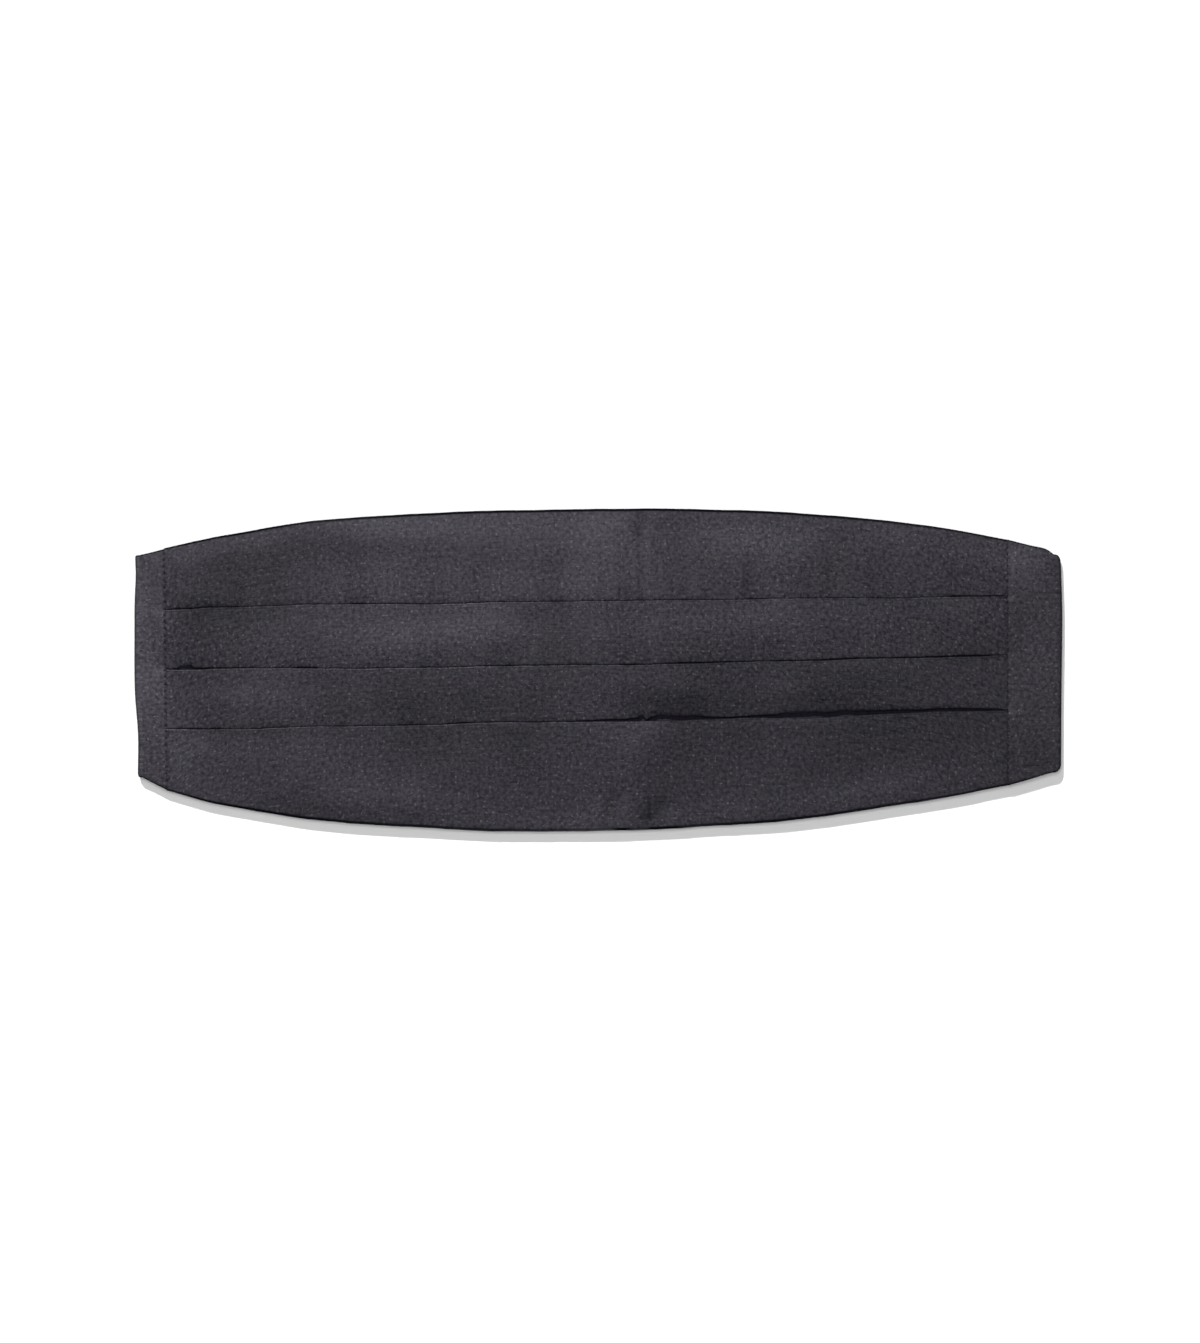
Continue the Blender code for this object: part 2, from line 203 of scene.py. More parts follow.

# Patches of painted sheen (above 0) and painted shade (below 0): where the satin's pile catches the light, over
# soft hollows and across small creases.
NapSheenShade = namedtuple("NapSheenShade", "x y along across angle tone")
NAP_SHEEN_SHADE = (
    # top band
    NapSheenShade(-36.0, 60.5, 36.0, 4.0, 1.0, 0.18),
    NapSheenShade(-136.0, 51.5, 8.0, 3.5, 14.0, 0.18),
    NapSheenShade(-88.0, 57.0, 18.0, 3.5, 0.0, 0.38),
    NapSheenShade(-92.0, 49.5, 18.0, 3.5, 0.0, -0.16),
    NapSheenShade(4.0, 43.0, 14.0, 13.0, 90.0, 0.24),
    NapSheenShade(20.0, 57.0, 12.0, 5.0, 0.0, -0.12),
    NapSheenShade(-150.0, 39.5, 22.0, 10.0, 6.0, -0.25),
    NapSheenShade(-82.0, 37.0, 19.0, 7.0, 0.0, 0.24),
    NapSheenShade(-52.0, 41.0, 18.0, 7.0, 0.0, 0.12),
    NapSheenShade(62.0, 53.0, 17.0, 5.0, -4.0, 0.36),
    NapSheenShade(114.0, 56.0, 20.0, 4.0, -9.0, 0.14),
    NapSheenShade(70.0, 39.0, 12.0, 10.0, 0.0, 0.16),
    NapSheenShade(95.0, 43.0, 7.0, 11.0, 0.0, -0.11),
    NapSheenShade(152.0, 48.0, 14.0, 5.0, -14.0, 0.12),
    # second band
    NapSheenShade(-78.0, 17.0, 26.0, 7.0, 0.0, 0.20),
    NapSheenShade(-77.0, 7.0, 16.0, 4.5, 5.0, 0.36),
    NapSheenShade(-161.0, 22.0, 19.0, 6.0, 0.0, -0.34),
    NapSheenShade(-164.0, 13.0, 9.0, 14.0, 0.0, -0.22),
    NapSheenShade(-44.0, 20.0, 10.0, 6.0, 0.0, 0.18),
    NapSheenShade(-20.0, 13.0, 10.0, 8.0, 0.0, -0.14),
    NapSheenShade(60.0, 18.0, 19.0, 6.0, 0.0, 0.20),
    NapSheenShade(112.0, 9.0, 18.0, 5.0, 0.0, 0.11),
    NapSheenShade(146.0, 6.5, 10.0, 3.0, 2.0, -0.14),
    NapSheenShade(-124.0, 8.0, 14.0, 4.5, 0.0, 0.18),
    # third band
    NapSheenShade(-162.0, -6.0, 12.0, 9.0, 0.0, -0.24),
    NapSheenShade(-136.0, -11.5, 8.0, 7.0, 0.0, 0.16),
    NapSheenShade(-72.0, -14.5, 16.0, 4.5, 0.0, -0.17),
    NapSheenShade(1.0, -14.0, 11.0, 5.5, 0.0, 0.38),
    NapSheenShade(32.0, -15.3, 17.0, 4.0, 3.0, -0.30),
    NapSheenShade(70.0, -6.5, 14.0, 3.5, 2.0, 0.15),
    NapSheenShade(84.0, -12.0, 12.0, 3.0, 3.0, -0.26),
    NapSheenShade(104.0, -15.0, 14.0, 3.5, 3.0, -0.14),
    NapSheenShade(126.0, -17.0, 15.0, 2.5, 3.0, -0.10),
    NapSheenShade(104.0, -2.5, 30.0, 4.0, 2.0, -0.24),
    # bottom band
    NapSheenShade(-150.0, -24.2, 24.0, 1.2, 1.0, -0.20),
    NapSheenShade(-166.0, -36.0, 9.0, 6.0, 90.0, 0.24),
    NapSheenShade(-134.0, -36.0, 16.0, 6.0, 0.0, 0.14),
    NapSheenShade(-110.0, -39.0, 15.0, 8.0, 5.0, 0.22),
    NapSheenShade(-82.0, -49.0, 14.0, 7.0, 0.0, 0.20),
    NapSheenShade(-45.0, -50.0, 16.0, 8.0, 0.0, 0.15),
    NapSheenShade(-70.0, -29.0, 11.0, 6.0, 10.0, -0.14),
    NapSheenShade(-32.0, -25.0, 16.0, 3.0, 0.0, -0.14),
    NapSheenShade(-20.0, -42.0, 10.0, 9.0, 70.0, 0.18),
    NapSheenShade(6.0, -29.0, 9.0, 6.0, 10.0, 0.20),
    NapSheenShade(-4.0, -51.0, 9.0, 7.0, 80.0, 0.20),
    NapSheenShade(36.0, -44.0, 14.0, 6.0, 0.0, 0.12),
    NapSheenShade(72.0, -24.5, 56.0, 3.0, 4.0, -0.12),
    NapSheenShade(52.0, -54.0, 14.0, 4.0, 5.0, 0.14),
    NapSheenShade(108.0, -49.0, 20.0, 5.0, 10.0, 0.20),
    NapSheenShade(122.0, -27.0, 26.0, 6.0, 6.0, -0.16),
    NapSheenShade(14.0, -45.0, 9.0, 8.0, 61.0, 0.16),
    NapSheenShade(-10.0, -61.5, 24.0, 3.0, 0.0, 0.22),
    # painted light and shade of small creases at the bottom middle
    NapSheenShade(8.0, -60.8, 5.0, 2.6, 0.0, 0.12),
    NapSheenShade(10.8, -57.0, 5.5, 2.4, 58.0, 0.28),
    NapSheenShade(15.2, -52.0, 4.5, 2.6, 35.0, 0.20),
    NapSheenShade(4.8, -53.2, 4.5, 1.7, 80.0, -0.24),
    NapSheenShade(-0.8, -54.6, 5.0, 2.2, 75.0, 0.18),
    NapSheenShade(19.2, -58.0, 3.5, 2.0, 60.0, -0.24),
    NapSheenShade(23.8, -55.0, 6.5, 2.5, 50.0, -0.26),
    NapSheenShade(31.5, -58.4, 4.5, 2.2, 15.0, 0.16),
    # end strips
    NapSheenShade(163.2, 26.0, 20.0, 0.9, 90.0, -0.14),
    NapSheenShade(163.4, -20.0, 20.0, 0.9, 90.0, -0.11),
    NapSheenShade(-183.5, 27.0, 5.0, 2.0, 90.0, 0.20),
    NapSheenShade(-179.0, 0.0, 60.0, 20.0, 90.0, 0.45),
    NapSheenShade(-179.0, 22.0, 6.0, 8.0, 90.0, 0.30),
    NapSheenShade(-179.0, -5.0, 8.0, 8.0, 90.0, 0.22),
    NapSheenShade(-180.0, -42.0, 8.0, 5.0, 0.0, -0.26),
    NapSheenShade(172.0, 10.0, 22.0, 9.0, 90.0, 0.07),
    NapSheenShade(167.0, -20.0, 12.0, 2.5, 90.0, 0.12),
    NapSheenShade(172.0, 45.0, 8.0, 7.0, 0.0, 0.32),
    NapSheenShade(174.0, -36.0, 8.0, 5.0, 5.0, -0.24),
)


# ---------------------------------------------------------------- small helpers
def smooth(t):
    t = np.clip(t, 0.0, 1.0)
    return t * t * (3.0 - 2.0 * t)


def mix(a, b, t):
    return a + (b - a) * t


def curve_through(rows, key, column, at):
    """Smooth value of one column of a table, at a value of its key column."""
    rows = sorted(rows, key=lambda row: getattr(row, key))
    ks = [getattr(row, key) for row in rows]
    vs = [getattr(row, column) for row in rows]
    n = len(rows)
    slopes = []
    for i in range(n):
        lo, hi = max(0, i - 1), min(n - 1, i + 1)
        slopes.append((vs[hi] - vs[lo]) / (ks[hi] - ks[lo]))
    if at <= ks[0]:
        return vs[0] + slopes[0] * (at - ks[0])
    if at >= ks[-1]:
        return vs[-1] + slopes[-1] * (at - ks[-1])
    i = max(j for j in range(n - 1) if ks[j] <= at)
    h = ks[i + 1] - ks[i]
    t = (at - ks[i]) / h
    return ((2 * t ** 3 - 3 * t ** 2 + 1) * vs[i] + (t ** 3 - 2 * t ** 2 + t) * h * slopes[i]
            + (-2 * t ** 3 + 3 * t ** 2) * vs[i + 1] + (t ** 3 - t ** 2) * h * slopes[i + 1])


def seam_x(seam, y):
    high, low = seam
    return low + (high - low) * (y + 48.0) / 98.0


def waver(x, seed, waves=((61.0, 1.0), (37.0, 0.7), (19.0, 0.45), (9.5, 0.25))):
    """An uneven wave along x, about -1 to 1, the same each run."""
    total = 0.0
    for k, (length, weight) in enumerate(waves):
        total = total + weight * np.sin(2.0 * math.pi * x / length + seed * (1.7 + k) + k * k)
    return total / 1.6


def creases(x, y):
    """Height of the soft ridges and troughs at x, y."""
    total = np.zeros(np.shape(x))
    for c in CREASES:
        a = math.radians(c.angle)
        along = (x - c.x) * math.cos(a) + (y - c.y) * math.sin(a)
        across = -(x - c.x) * math.sin(a) + (y - c.y) * math.cos(a)
        total = total + c.height * np.exp(-0.5 * ((along / c.along) ** 2
                                                  + (across / c.across) ** 2))
    ripple = 0.05 * waver(x + 0.6 * y, 2.1) + 0.035 * waver(1.7 * x - 0.8 * y, 5.3)
    return total + ripple


# soft patches of painted sheen and painted shade at x, y
def nap_sheen_shade(x, y):
    total = np.zeros(np.shape(x))
    for n in NAP_SHEEN_SHADE:
        a = math.radians(n.angle)
        along = (x - n.x) * math.cos(a) + (y - n.y) * math.sin(a)
        across = -(x - n.x) * math.sin(a) + (y - n.y) * math.cos(a)
        total = total + n.tone * np.exp(-0.5 * ((along / n.along) ** 2 + (across / n.across) ** 2))
    return total


def gape(x, pleat):
    """Width of a pleat's dark gap at x."""
    rows = GAPES[pleat]
    after = next((i for i, g in enumerate(rows) if g.x > x), len(rows) - 1)
    a, b = rows[max(0, after - 1)], rows[after]
    t = float(smooth((x - a.x) / max(1e-6, b.x - a.x)))
    wide = mix(a.wide, b.wide, t)
    seed = {"pleat1": 0.3, "pleat2": 1.9, "pleat3": 4.2}[pleat]
    return wide * max(0.1, 1.0 + (0.12 + 0.75 * math.exp(-wide / 0.2)) * float(waver(3.1 * x, seed)))


def shut(x, pleat):
    """Share to which a pleat lies closed at x, so that its line almost goes."""
    seed = {"pleat1": 1.3, "pleat2": 4.4, "pleat3": 2.6}[pleat]
    uneven = 0.66 + 0.75 * float(waver(2.3 * x, seed))
    return float(smooth(1.15 - gape_about(x, pleat) / 0.42)) * min(1.0, max(0.0, uneven))


def gape_about(x, pleat):
    """The same, evened out: the fold's own edge runs smoothly past a bridge."""
    return sum(gape(x + d, pleat) for d in (-7.0, -4.5, -2.0, 0.0, 2.0, 4.5, 7.0)) / 7.0


# ---------------------------------------------------------------- the front's form
def rest_height(x, zone):
    share = {"pleat1": 0.6, "pleat2": 1.0, "pleat3": 0.6}[zone]
    swell = float(smooth((70.0 - abs(x)) / 48.0))
    return ON_PANEL + (ON_CLASP - ON_PANEL) * share * swell


def near_seam(x):
    """1 at a seam, falling to 0 away from it."""
    d = min(x - sum(SEAM_LEFT) / 2.0, sum(SEAM_RIGHT) / 2.0 - x)
    return float(smooth(1.0 - d / 13.0))


def layer_height(x, zone, layer):
    """Middle of a folded layer of cloth, before the creases."""
    at_seam = near_seam(x)
    if zone in ("top", "bottom"):
        over = float(smooth((abs(x + 4.6) - 132.0) / 16.0))
        return mix(mix(ON_FLOOR, OVER_PANEL, over), EDGE_RISE, layer)
    middle = rest_height(x, zone) + CAD_WALL / 2.0 + CAD_LAYER - 0.05 * at_seam
    pitch = mix(PRESSED * (1.0 + 0.35 * gape_about(x, zone)), SEWN, at_seam)
    return middle + (layer - 1) * pitch


def arc(y, low, high, side, rising, steps=8):
    """(y, z, turn) round a fold whose outer face just reaches y."""
    radius = (high - low) / 2.0
    centre_y = y - side * (radius + WALL / 2.0)
    centre_z = (high + low) / 2.0
    out = []
    for i in range(steps + 1):
        turn = math.pi * i / steps
        height = -math.cos(turn) if rising else math.cos(turn)
        out.append((centre_y + side * radius * math.sin(turn), centre_z + radius * height,
                    turn if rising else math.pi - turn))
    return out


def edge_shade_share(down):
    """Painted shade line along a rolled edge; down is the angle turned from the face."""
    return float(smooth((down - 0.13) / 0.20) * (1.0 - 0.80 * smooth((down - 1.02) / 0.45)))


FAR = 40.0


def place(y, z, turned=0.0, inner=0.0, below=FAR, closed=0.0):
    """A point of the front's section: where it is, the share of the edges' painted
    shade line, the share inside a pleat, the distance below the band's own edge and
    how far the pleat lies closed."""
    return (y, z, turned, inner, below, closed)


def front_section(x):
    """The cloth's path up the section at x, from hem to hem."""
    row = {name: curve_through(SECTIONS, "x", name, x)
           for name in ("top", "pleat1", "pleat2", "pleat3", "bottom")}
    held = 1.0 - near_seam(x)
    for k, name in enumerate(("pleat1", "pleat2", "pleat3")):
        row[name] += 0.16 * float(waver(x, 3.0 + 2.3 * k)) * held - 0.5 * gape_about(x, name)
    # how strong the painted shade line along the top and bottom edges is here
    edge_shade_top = curve_through(EDGE_SHADE_LINES, "x", "top", x)
    edge_shade_bottom = curve_through(EDGE_SHADE_LINES, "x", "bottom", x)
    row["top"] += 0.10 * float(waver(x, 7.7)) * held
    row["bottom"] += 0.14 * float(waver(x, 9.1)) * held
    out = []

    # top hem
    low, high = layer_height(x, "top", 0), layer_height(x, "top", 1)
    # the hem's lower layer takes part of the near-black painted shade
    for t in (0.0, 0.35, 0.7):
        out.append(place(row["top"] - HEM + (HEM - 2.2) * t, low, 0.38))
    # the rolled top edge takes the painted shade line
    out += [place(y, z, edge_shade_top * edge_shade_share(math.pi - turn),
                  below=row["top"] - y if turn > 1.6 else FAR)
            for y, z, turn in arc(row["top"], low, high, 1.0, True, 14)]
    start_y, start_z = out[-1][0], high
    own_edge = row["top"]
    flat_to = row["top"] - HEM * 0.8
    crown, eased = 0.16, 0.0
    for zone in ("pleat1", "pleat2", "pleat3"):
        low = layer_height(x, zone, 0)
        mid = layer_height(x, zone, 1)
        high = layer_height(x, zone, 2)
        gap = gape(x, zone)
        closed = shut(x, zone)
        edge = row[zone]
        # the band above comes down behind the fold
        fall = (high - low) * (0.62 + 0.10 * min(1.8, gap) + 0.31 * closed)
        steep = 0.11 + 0.50 * gap
        bend = (0.15 + 0.10 * gap) * (1.0 - 0.75 * closed)
        inner_centre = edge - UNDERLAP + (mid - low) / 2.0 + WALL / 2.0
        rim = edge + gap + steep
        span = flat_to - rim
        steps = 18
        for i in range(1, steps + 2):
            t = (i / steps) ** 0.92 if i < steps else (0.988, 1.0)[i - steps]
            y = mix(start_y, rim, t)
            even = min(1.0, max(0.0, (flat_to - y) / span))
            q = mix(even, float(smooth(even)), 0.45)
            z = mix(start_z - eased, low + fall, q)
            z += eased * (1.0 - min(1.0, (start_y - y) / max(0.1, start_y - flat_to)))
            z += crown * math.sin(math.pi * min(1.0, t * 1.02)) ** 1.3
            z -= bend * max(0.0, 1.0 - (y - rim) / 2.7) ** 2.4
            out.append(place(y, z, below=own_edge - y))
        for i in range(1, 6):
            t = i / 5.0
            y = mix(rim, edge + gap, t)
            z = low + (fall - bend) * (1.0 - float(smooth(t)))
            out.append(place(y, z, inner=float(smooth((t + 0.1) / 0.7)), closed=closed))
        for t in (0.35, 0.7, 1.0):
            out.append(place(mix(edge + gap, edge - 0.25, t), low, inner=1.0, closed=closed))
        for t in (0.5, 1.0):
            out.append(place(mix(edge - 0.25, inner_centre, t), low, inner=1.0))
        out += [place(y, z, inner=1.0)
                for y, z, _ in arc(edge - UNDERLAP, low, mid, -1.0, True, 5)][1:]
        outer_centre = edge - (high - mid) / 2.0 - WALL / 2.0
        inner_y = out[-1][0]
        for t in (0.33, 0.66):
            out.append(place(mix(inner_y, outer_centre, t), mid, inner=1.0))
        out += [place(y, z, inner=float(smooth((2.62 - turn) / 0.7)),
                      below=edge - y if turn > 1.5 else FAR, closed=closed)
                for y, z, turn in arc(edge, mid, high, 1.0, True, 10)]
        start_y, start_z = out[-1][0], high
        own_edge = edge
        flat_to = edge - UNDERLAP * 0.75
        crown = {"pleat1": 0.28, "pleat2": 0.14, "pleat3": 0.0}[zone]
        eased = {"pleat1": 0.08, "pleat2": 0.18, "pleat3": 0.20}[zone]
    # bottom hem
    low, high = layer_height(x, "bottom", 0), layer_height(x, "bottom", 1)
    end_y = row["bottom"] + (high - low) / 2.0 + WALL / 2.0
    span = flat_to - (row["bottom"] + HEM * 0.8)
    steps = 28
    for i in range(1, steps):
        t = i / steps
        y = mix(start_y, end_y, t)
        even = min(1.0, max(0.0, (flat_to - y) / span))
        q = mix(even, float(smooth(even)), 0.7)
        z = mix(start_z - eased, high, q) + 0.18 * math.sin(math.pi * t)
        z += eased * (1.0 - min(1.0, (start_y - y) / (start_y - flat_to)))
        out.append(place(y, z, below=own_edge - y))
    # the rolled bottom edge takes the painted shade line
    out += [place(y, z, edge_shade_bottom * edge_shade_share(math.pi - turn))
            for y, z, turn in arc(row["bottom"], low, high, -1.0, False, 14)]
    # the hem's lower layer takes part of the near-black painted shade
    for t in (0.3, 0.65, 1.0):
        out.append(place(row["bottom"] + mix(2.2, HEM, t), low, 0.38))
    return np.array(out)


def from_seam(x, y):
    return np.minimum(np.abs(x - seam_x(SEAM_LEFT, y)), np.abs(x - seam_x(SEAM_RIGHT, y)))


def seam_dip(x, y):
    """The cloth turns down into the seams at both ends."""
    d = from_seam(x, y)
    deep = np.where(x < 0.0, 1.0, 0.45)
    return deep * (0.10 * np.clip(1.0 - d / 1.0, 0.0, 1.0) ** 2 + 0.06 * np.exp(-d / 3.0))


def front_points(columns):
    left_mid, right_mid = sum(SEAM_LEFT) / 2.0, sum(SEAM_RIGHT) / 2.0
    # columns, closer next to the seams and where the third pleat is caught
    fine = np.linspace(left_mid, right_mid, 4000)
    density = (1.0 + 1.2 * np.exp(-(fine - left_mid) / 5.0) + 1.2 * np.exp((fine - right_mid) / 5.0)
               + 1.6 * np.exp(-0.5 * ((fine - 19.3) / 4.0) ** 2)
               + 1.2 * np.exp(-0.5 * ((fine + 165.0) / 5.0) ** 2))
    share = np.concatenate([[0.0], np.cumsum(0.5 * (density[1:] + density[:-1]))])
    u = np.interp(np.linspace(0.0, share[-1], columns + 1), share, np.linspace(0.0, 1.0, 4000))
    rows = [front_section(mix(left_mid, right_mid, t)) for t in u]
    table = np.stack(rows)                          # column, point, place()
    y, z, share, inner, below, closed = (table[..., k] for k in range(6))
    left = seam_x(SEAM_LEFT, y) + SEAM_HALF
    right = seam_x(SEAM_RIGHT, y) - SEAM_HALF
    x = mix(left, right, u[:, None])
    lift = creases(x, y)
    top = np.max(y, axis=1)[:, None]
    bottom = np.min(y, axis=1)[:, None]
    inside = np.minimum(top - y, y - bottom)
    calm = smooth(inside / 9.0)
    ends = smooth(np.minimum(x - seam_x(SEAM_LEFT, y), seam_x(SEAM_RIGHT, y) - x) / 8.0)
    lift = np.where(lift < 0.0, lift * calm, lift * mix(0.35, 1.0, calm))
    z = z + lift * mix(0.45, 1.0, ends) - seam_dip(x, y)
    return x, y, z, share, inner, below, closed


# ---------------------------------------------------------------- mesh makers
def grid_mesh(name, x, y, z, marks, material, wall=WALL, along=None, across=None):
    """A sheet from rows and columns of points in mm, made a thin closed shell."""
    n, m = x.shape
    co = np.stack([x, y, z], axis=-1).reshape(-1, 3) * MM
    i, j = np.meshgrid(np.arange(n - 1), np.arange(m - 1), indexing="ij")
    a = (i * m + j).ravel()
    faces = np.stack([a, a + m, a + m + 1, a + 1], axis=1)
    mesh = bpy.data.meshes.new(name)
    mesh.from_pydata(co.tolist(), [], faces.tolist())
    # cloth coordinates: threads across the front, and up its unfolded length
    if along is None:
        along = x
    if across is None:
        step = np.hypot(np.diff(y, axis=1), np.diff(z, axis=1))
        across = np.concatenate([np.zeros((n, 1)), np.cumsum(step, axis=1)], axis=1)
        # evened out along the front, so that a gape doesn't shear the threads below it
        spread = np.hanning(21)[1:-1] / np.hanning(21).sum()
        padded = np.concatenate([across[:1]] * 9 + [across] + [across[-1:]] * 9)
        across = sum(share * padded[k:k + n] for k, share in enumerate(spread))
    uv = np.stack([along / 400.0 + 0.5, across / 400.0], axis=-1).reshape(-1, 2)
    layer = mesh.uv_layers.new(name="cloth")
    loops = np.zeros(len(mesh.loops), dtype=np.int32)
    mesh.loops.foreach_get("vertex_index", loops)
    layer.data.foreach_set("uv", uv[loops].astype(np.float32).ravel())
    for key, values in marks.items():
        mark = mesh.attributes.new(key, "FLOAT", "POINT")
        mark.data.foreach_set("value", np.asarray(values, dtype=np.float32).ravel())
    mesh.materials.append(material)
    mesh.update()
    mesh.shade_smooth()
    # the sheet's own border is a sharp edge, so that its rim doesn't shade the face
    ends = np.zeros(2 * len(mesh.edges), dtype=np.int32)
    mesh.edges.foreach_get("vertices", ends)
    rows, places = ends.reshape(-1, 2) // m, ends.reshape(-1, 2) % m
    border = np.zeros(len(mesh.edges), dtype=bool)
    for index, last in ((rows, n - 1), (places, m - 1)):
        border |= (index == 0).all(axis=1) | (index == last).all(axis=1)
    sharp = mesh.attributes.new("sharp_edge", "BOOLEAN", "EDGE")
    sharp.data.foreach_set("value", border)
    obj = bpy.data.objects.new(name, mesh)
    bpy.context.scene.collection.objects.link(obj)
    shell = obj.modifiers.new("wall", "SOLIDIFY")
    shell.thickness = wall * MM
    shell.offset = 0.0
    shell.use_even_offset = False
    return obj


def tube_mesh(name, lines, radius, material, sides=6):
    """Short rounded threads, each along its own few points, joined in one mesh."""
    verts, faces = [], []
    for line in lines:
        line = [Vector(p) for p in line]
        first = len(verts)
        rings = []
        n = len(line)
        for k, p in enumerate(line):
            ahead = (line[min(k + 1, n - 1)] - line[max(k - 1, 0)]).normalized()
            side = ahead.cross(Vector((0, 0, 1)))
            side = side.normalized() if side.length > 1e-6 else Vector((1, 0, 0))
            up = side.cross(ahead).normalized()
            swell = 0.62 if k in (0, n - 1) else 1.0
            ring = []
            for s in range(sides):
                a = 2.0 * math.pi * s / sides
                q = p + (side * math.cos(a) + up * math.sin(a)) * radius * swell
                ring.append(len(verts))
                verts.append(q * MM)
            rings.append(ring)
        for r0, r1 in zip(rings, rings[1:]):
            for s in range(sides):
                t = (s + 1) % sides
                faces.append((r0[s], r1[s], r1[t], r0[t]))
        for ring, end, flip in ((rings[0], line[0] - (line[1] - line[0]).normalized() * radius * 0.7, False),
                                (rings[-1], line[-1] + (line[-1] - line[-2]).normalized() * radius * 0.7, True)):
            tip = len(verts)
            verts.append(end * MM)
            for s in range(sides):
                t = (s + 1) % sides
                faces.append((ring[t], tip, ring[s]) if flip else (ring[s], tip, ring[t]))
        del first
    mesh = bpy.data.meshes.new(name)
    mesh.from_pydata([tuple(v) for v in verts], [], faces)
    mesh.materials.append(material)
    mesh.update()
    mesh.shade_smooth()
    obj = bpy.data.objects.new(name, mesh)
    bpy.context.scene.collection.objects.link(obj)
    return obj


# ---------------------------------------------------------------- materials
class Nodes:
    """Short way to lay out shader nodes."""

    def __init__(self, name):
        self.material = bpy.data.materials.new(name)
        self.material.use_nodes = True
        self.tree = self.material.node_tree
        self.shader = self.tree.nodes["Principled BSDF"]

    def add(self, kind, **settings):
        node = self.tree.nodes.new(kind)
        for key, value in settings.items():
            setattr(node, key, value)
        return node

    def link(self, a, b):
        self.tree.links.new(a, b)

    def scaled(self, source, scale, offset=(0.0, 0.0, 0.0), turn=0.0):
        node = self.add("ShaderNodeMapping")
        node.inputs["Scale"].default_value = (scale[0], scale[1], 1.0)
        node.inputs["Location"].default_value = offset
        node.inputs["Rotation"].default_value = (0.0, 0.0, math.radians(turn))
        self.link(source, node.inputs["Vector"])
        return node.outputs["Vector"]

    def noise(self, vector, scale, detail=2.0, rough=0.5):
        node = self.add("ShaderNodeTexNoise", noise_dimensions="2D")
        node.inputs["Scale"].default_value = scale
        node.inputs["Detail"].default_value = detail
        node.inputs["Roughness"].default_value = rough
        self.link(vector, node.inputs["Vector"])
        return node.outputs["Fac"]

    def ramp(self, value, low, high, start=0.0, end=1.0):
        node = self.add("ShaderNodeMapRange")
        node.inputs["From Min"].default_value = low
        node.inputs["From Max"].default_value = high
        node.inputs["To Min"].default_value = start
        node.inputs["To Max"].default_value = end
        self.link(value, node.inputs["Value"])
        return node.outputs["Result"]

    def math(self, operation, a, b):
        node = self.add("ShaderNodeMath", operation=operation)
        for socket, value in zip(node.inputs, (a, b)):
            if isinstance(value, (int, float)):
                socket.default_value = value
            else:
                self.link(value, socket)
        return node.outputs["Value"]

    def mix_colour(self, factor, a, b, blend="MIX"):
        node = self.add("ShaderNodeMix", data_type="RGBA", blend_type=blend)
        for socket, value in ((node.inputs[0], factor), (node.inputs[6], a), (node.inputs[7], b)):
            if isinstance(value, (int, float)):
                socket.default_value = value
            elif isinstance(value, tuple):
                socket.default_value = (*value, 1.0)
            else:
                self.link(value, socket)
        return node.outputs[2]
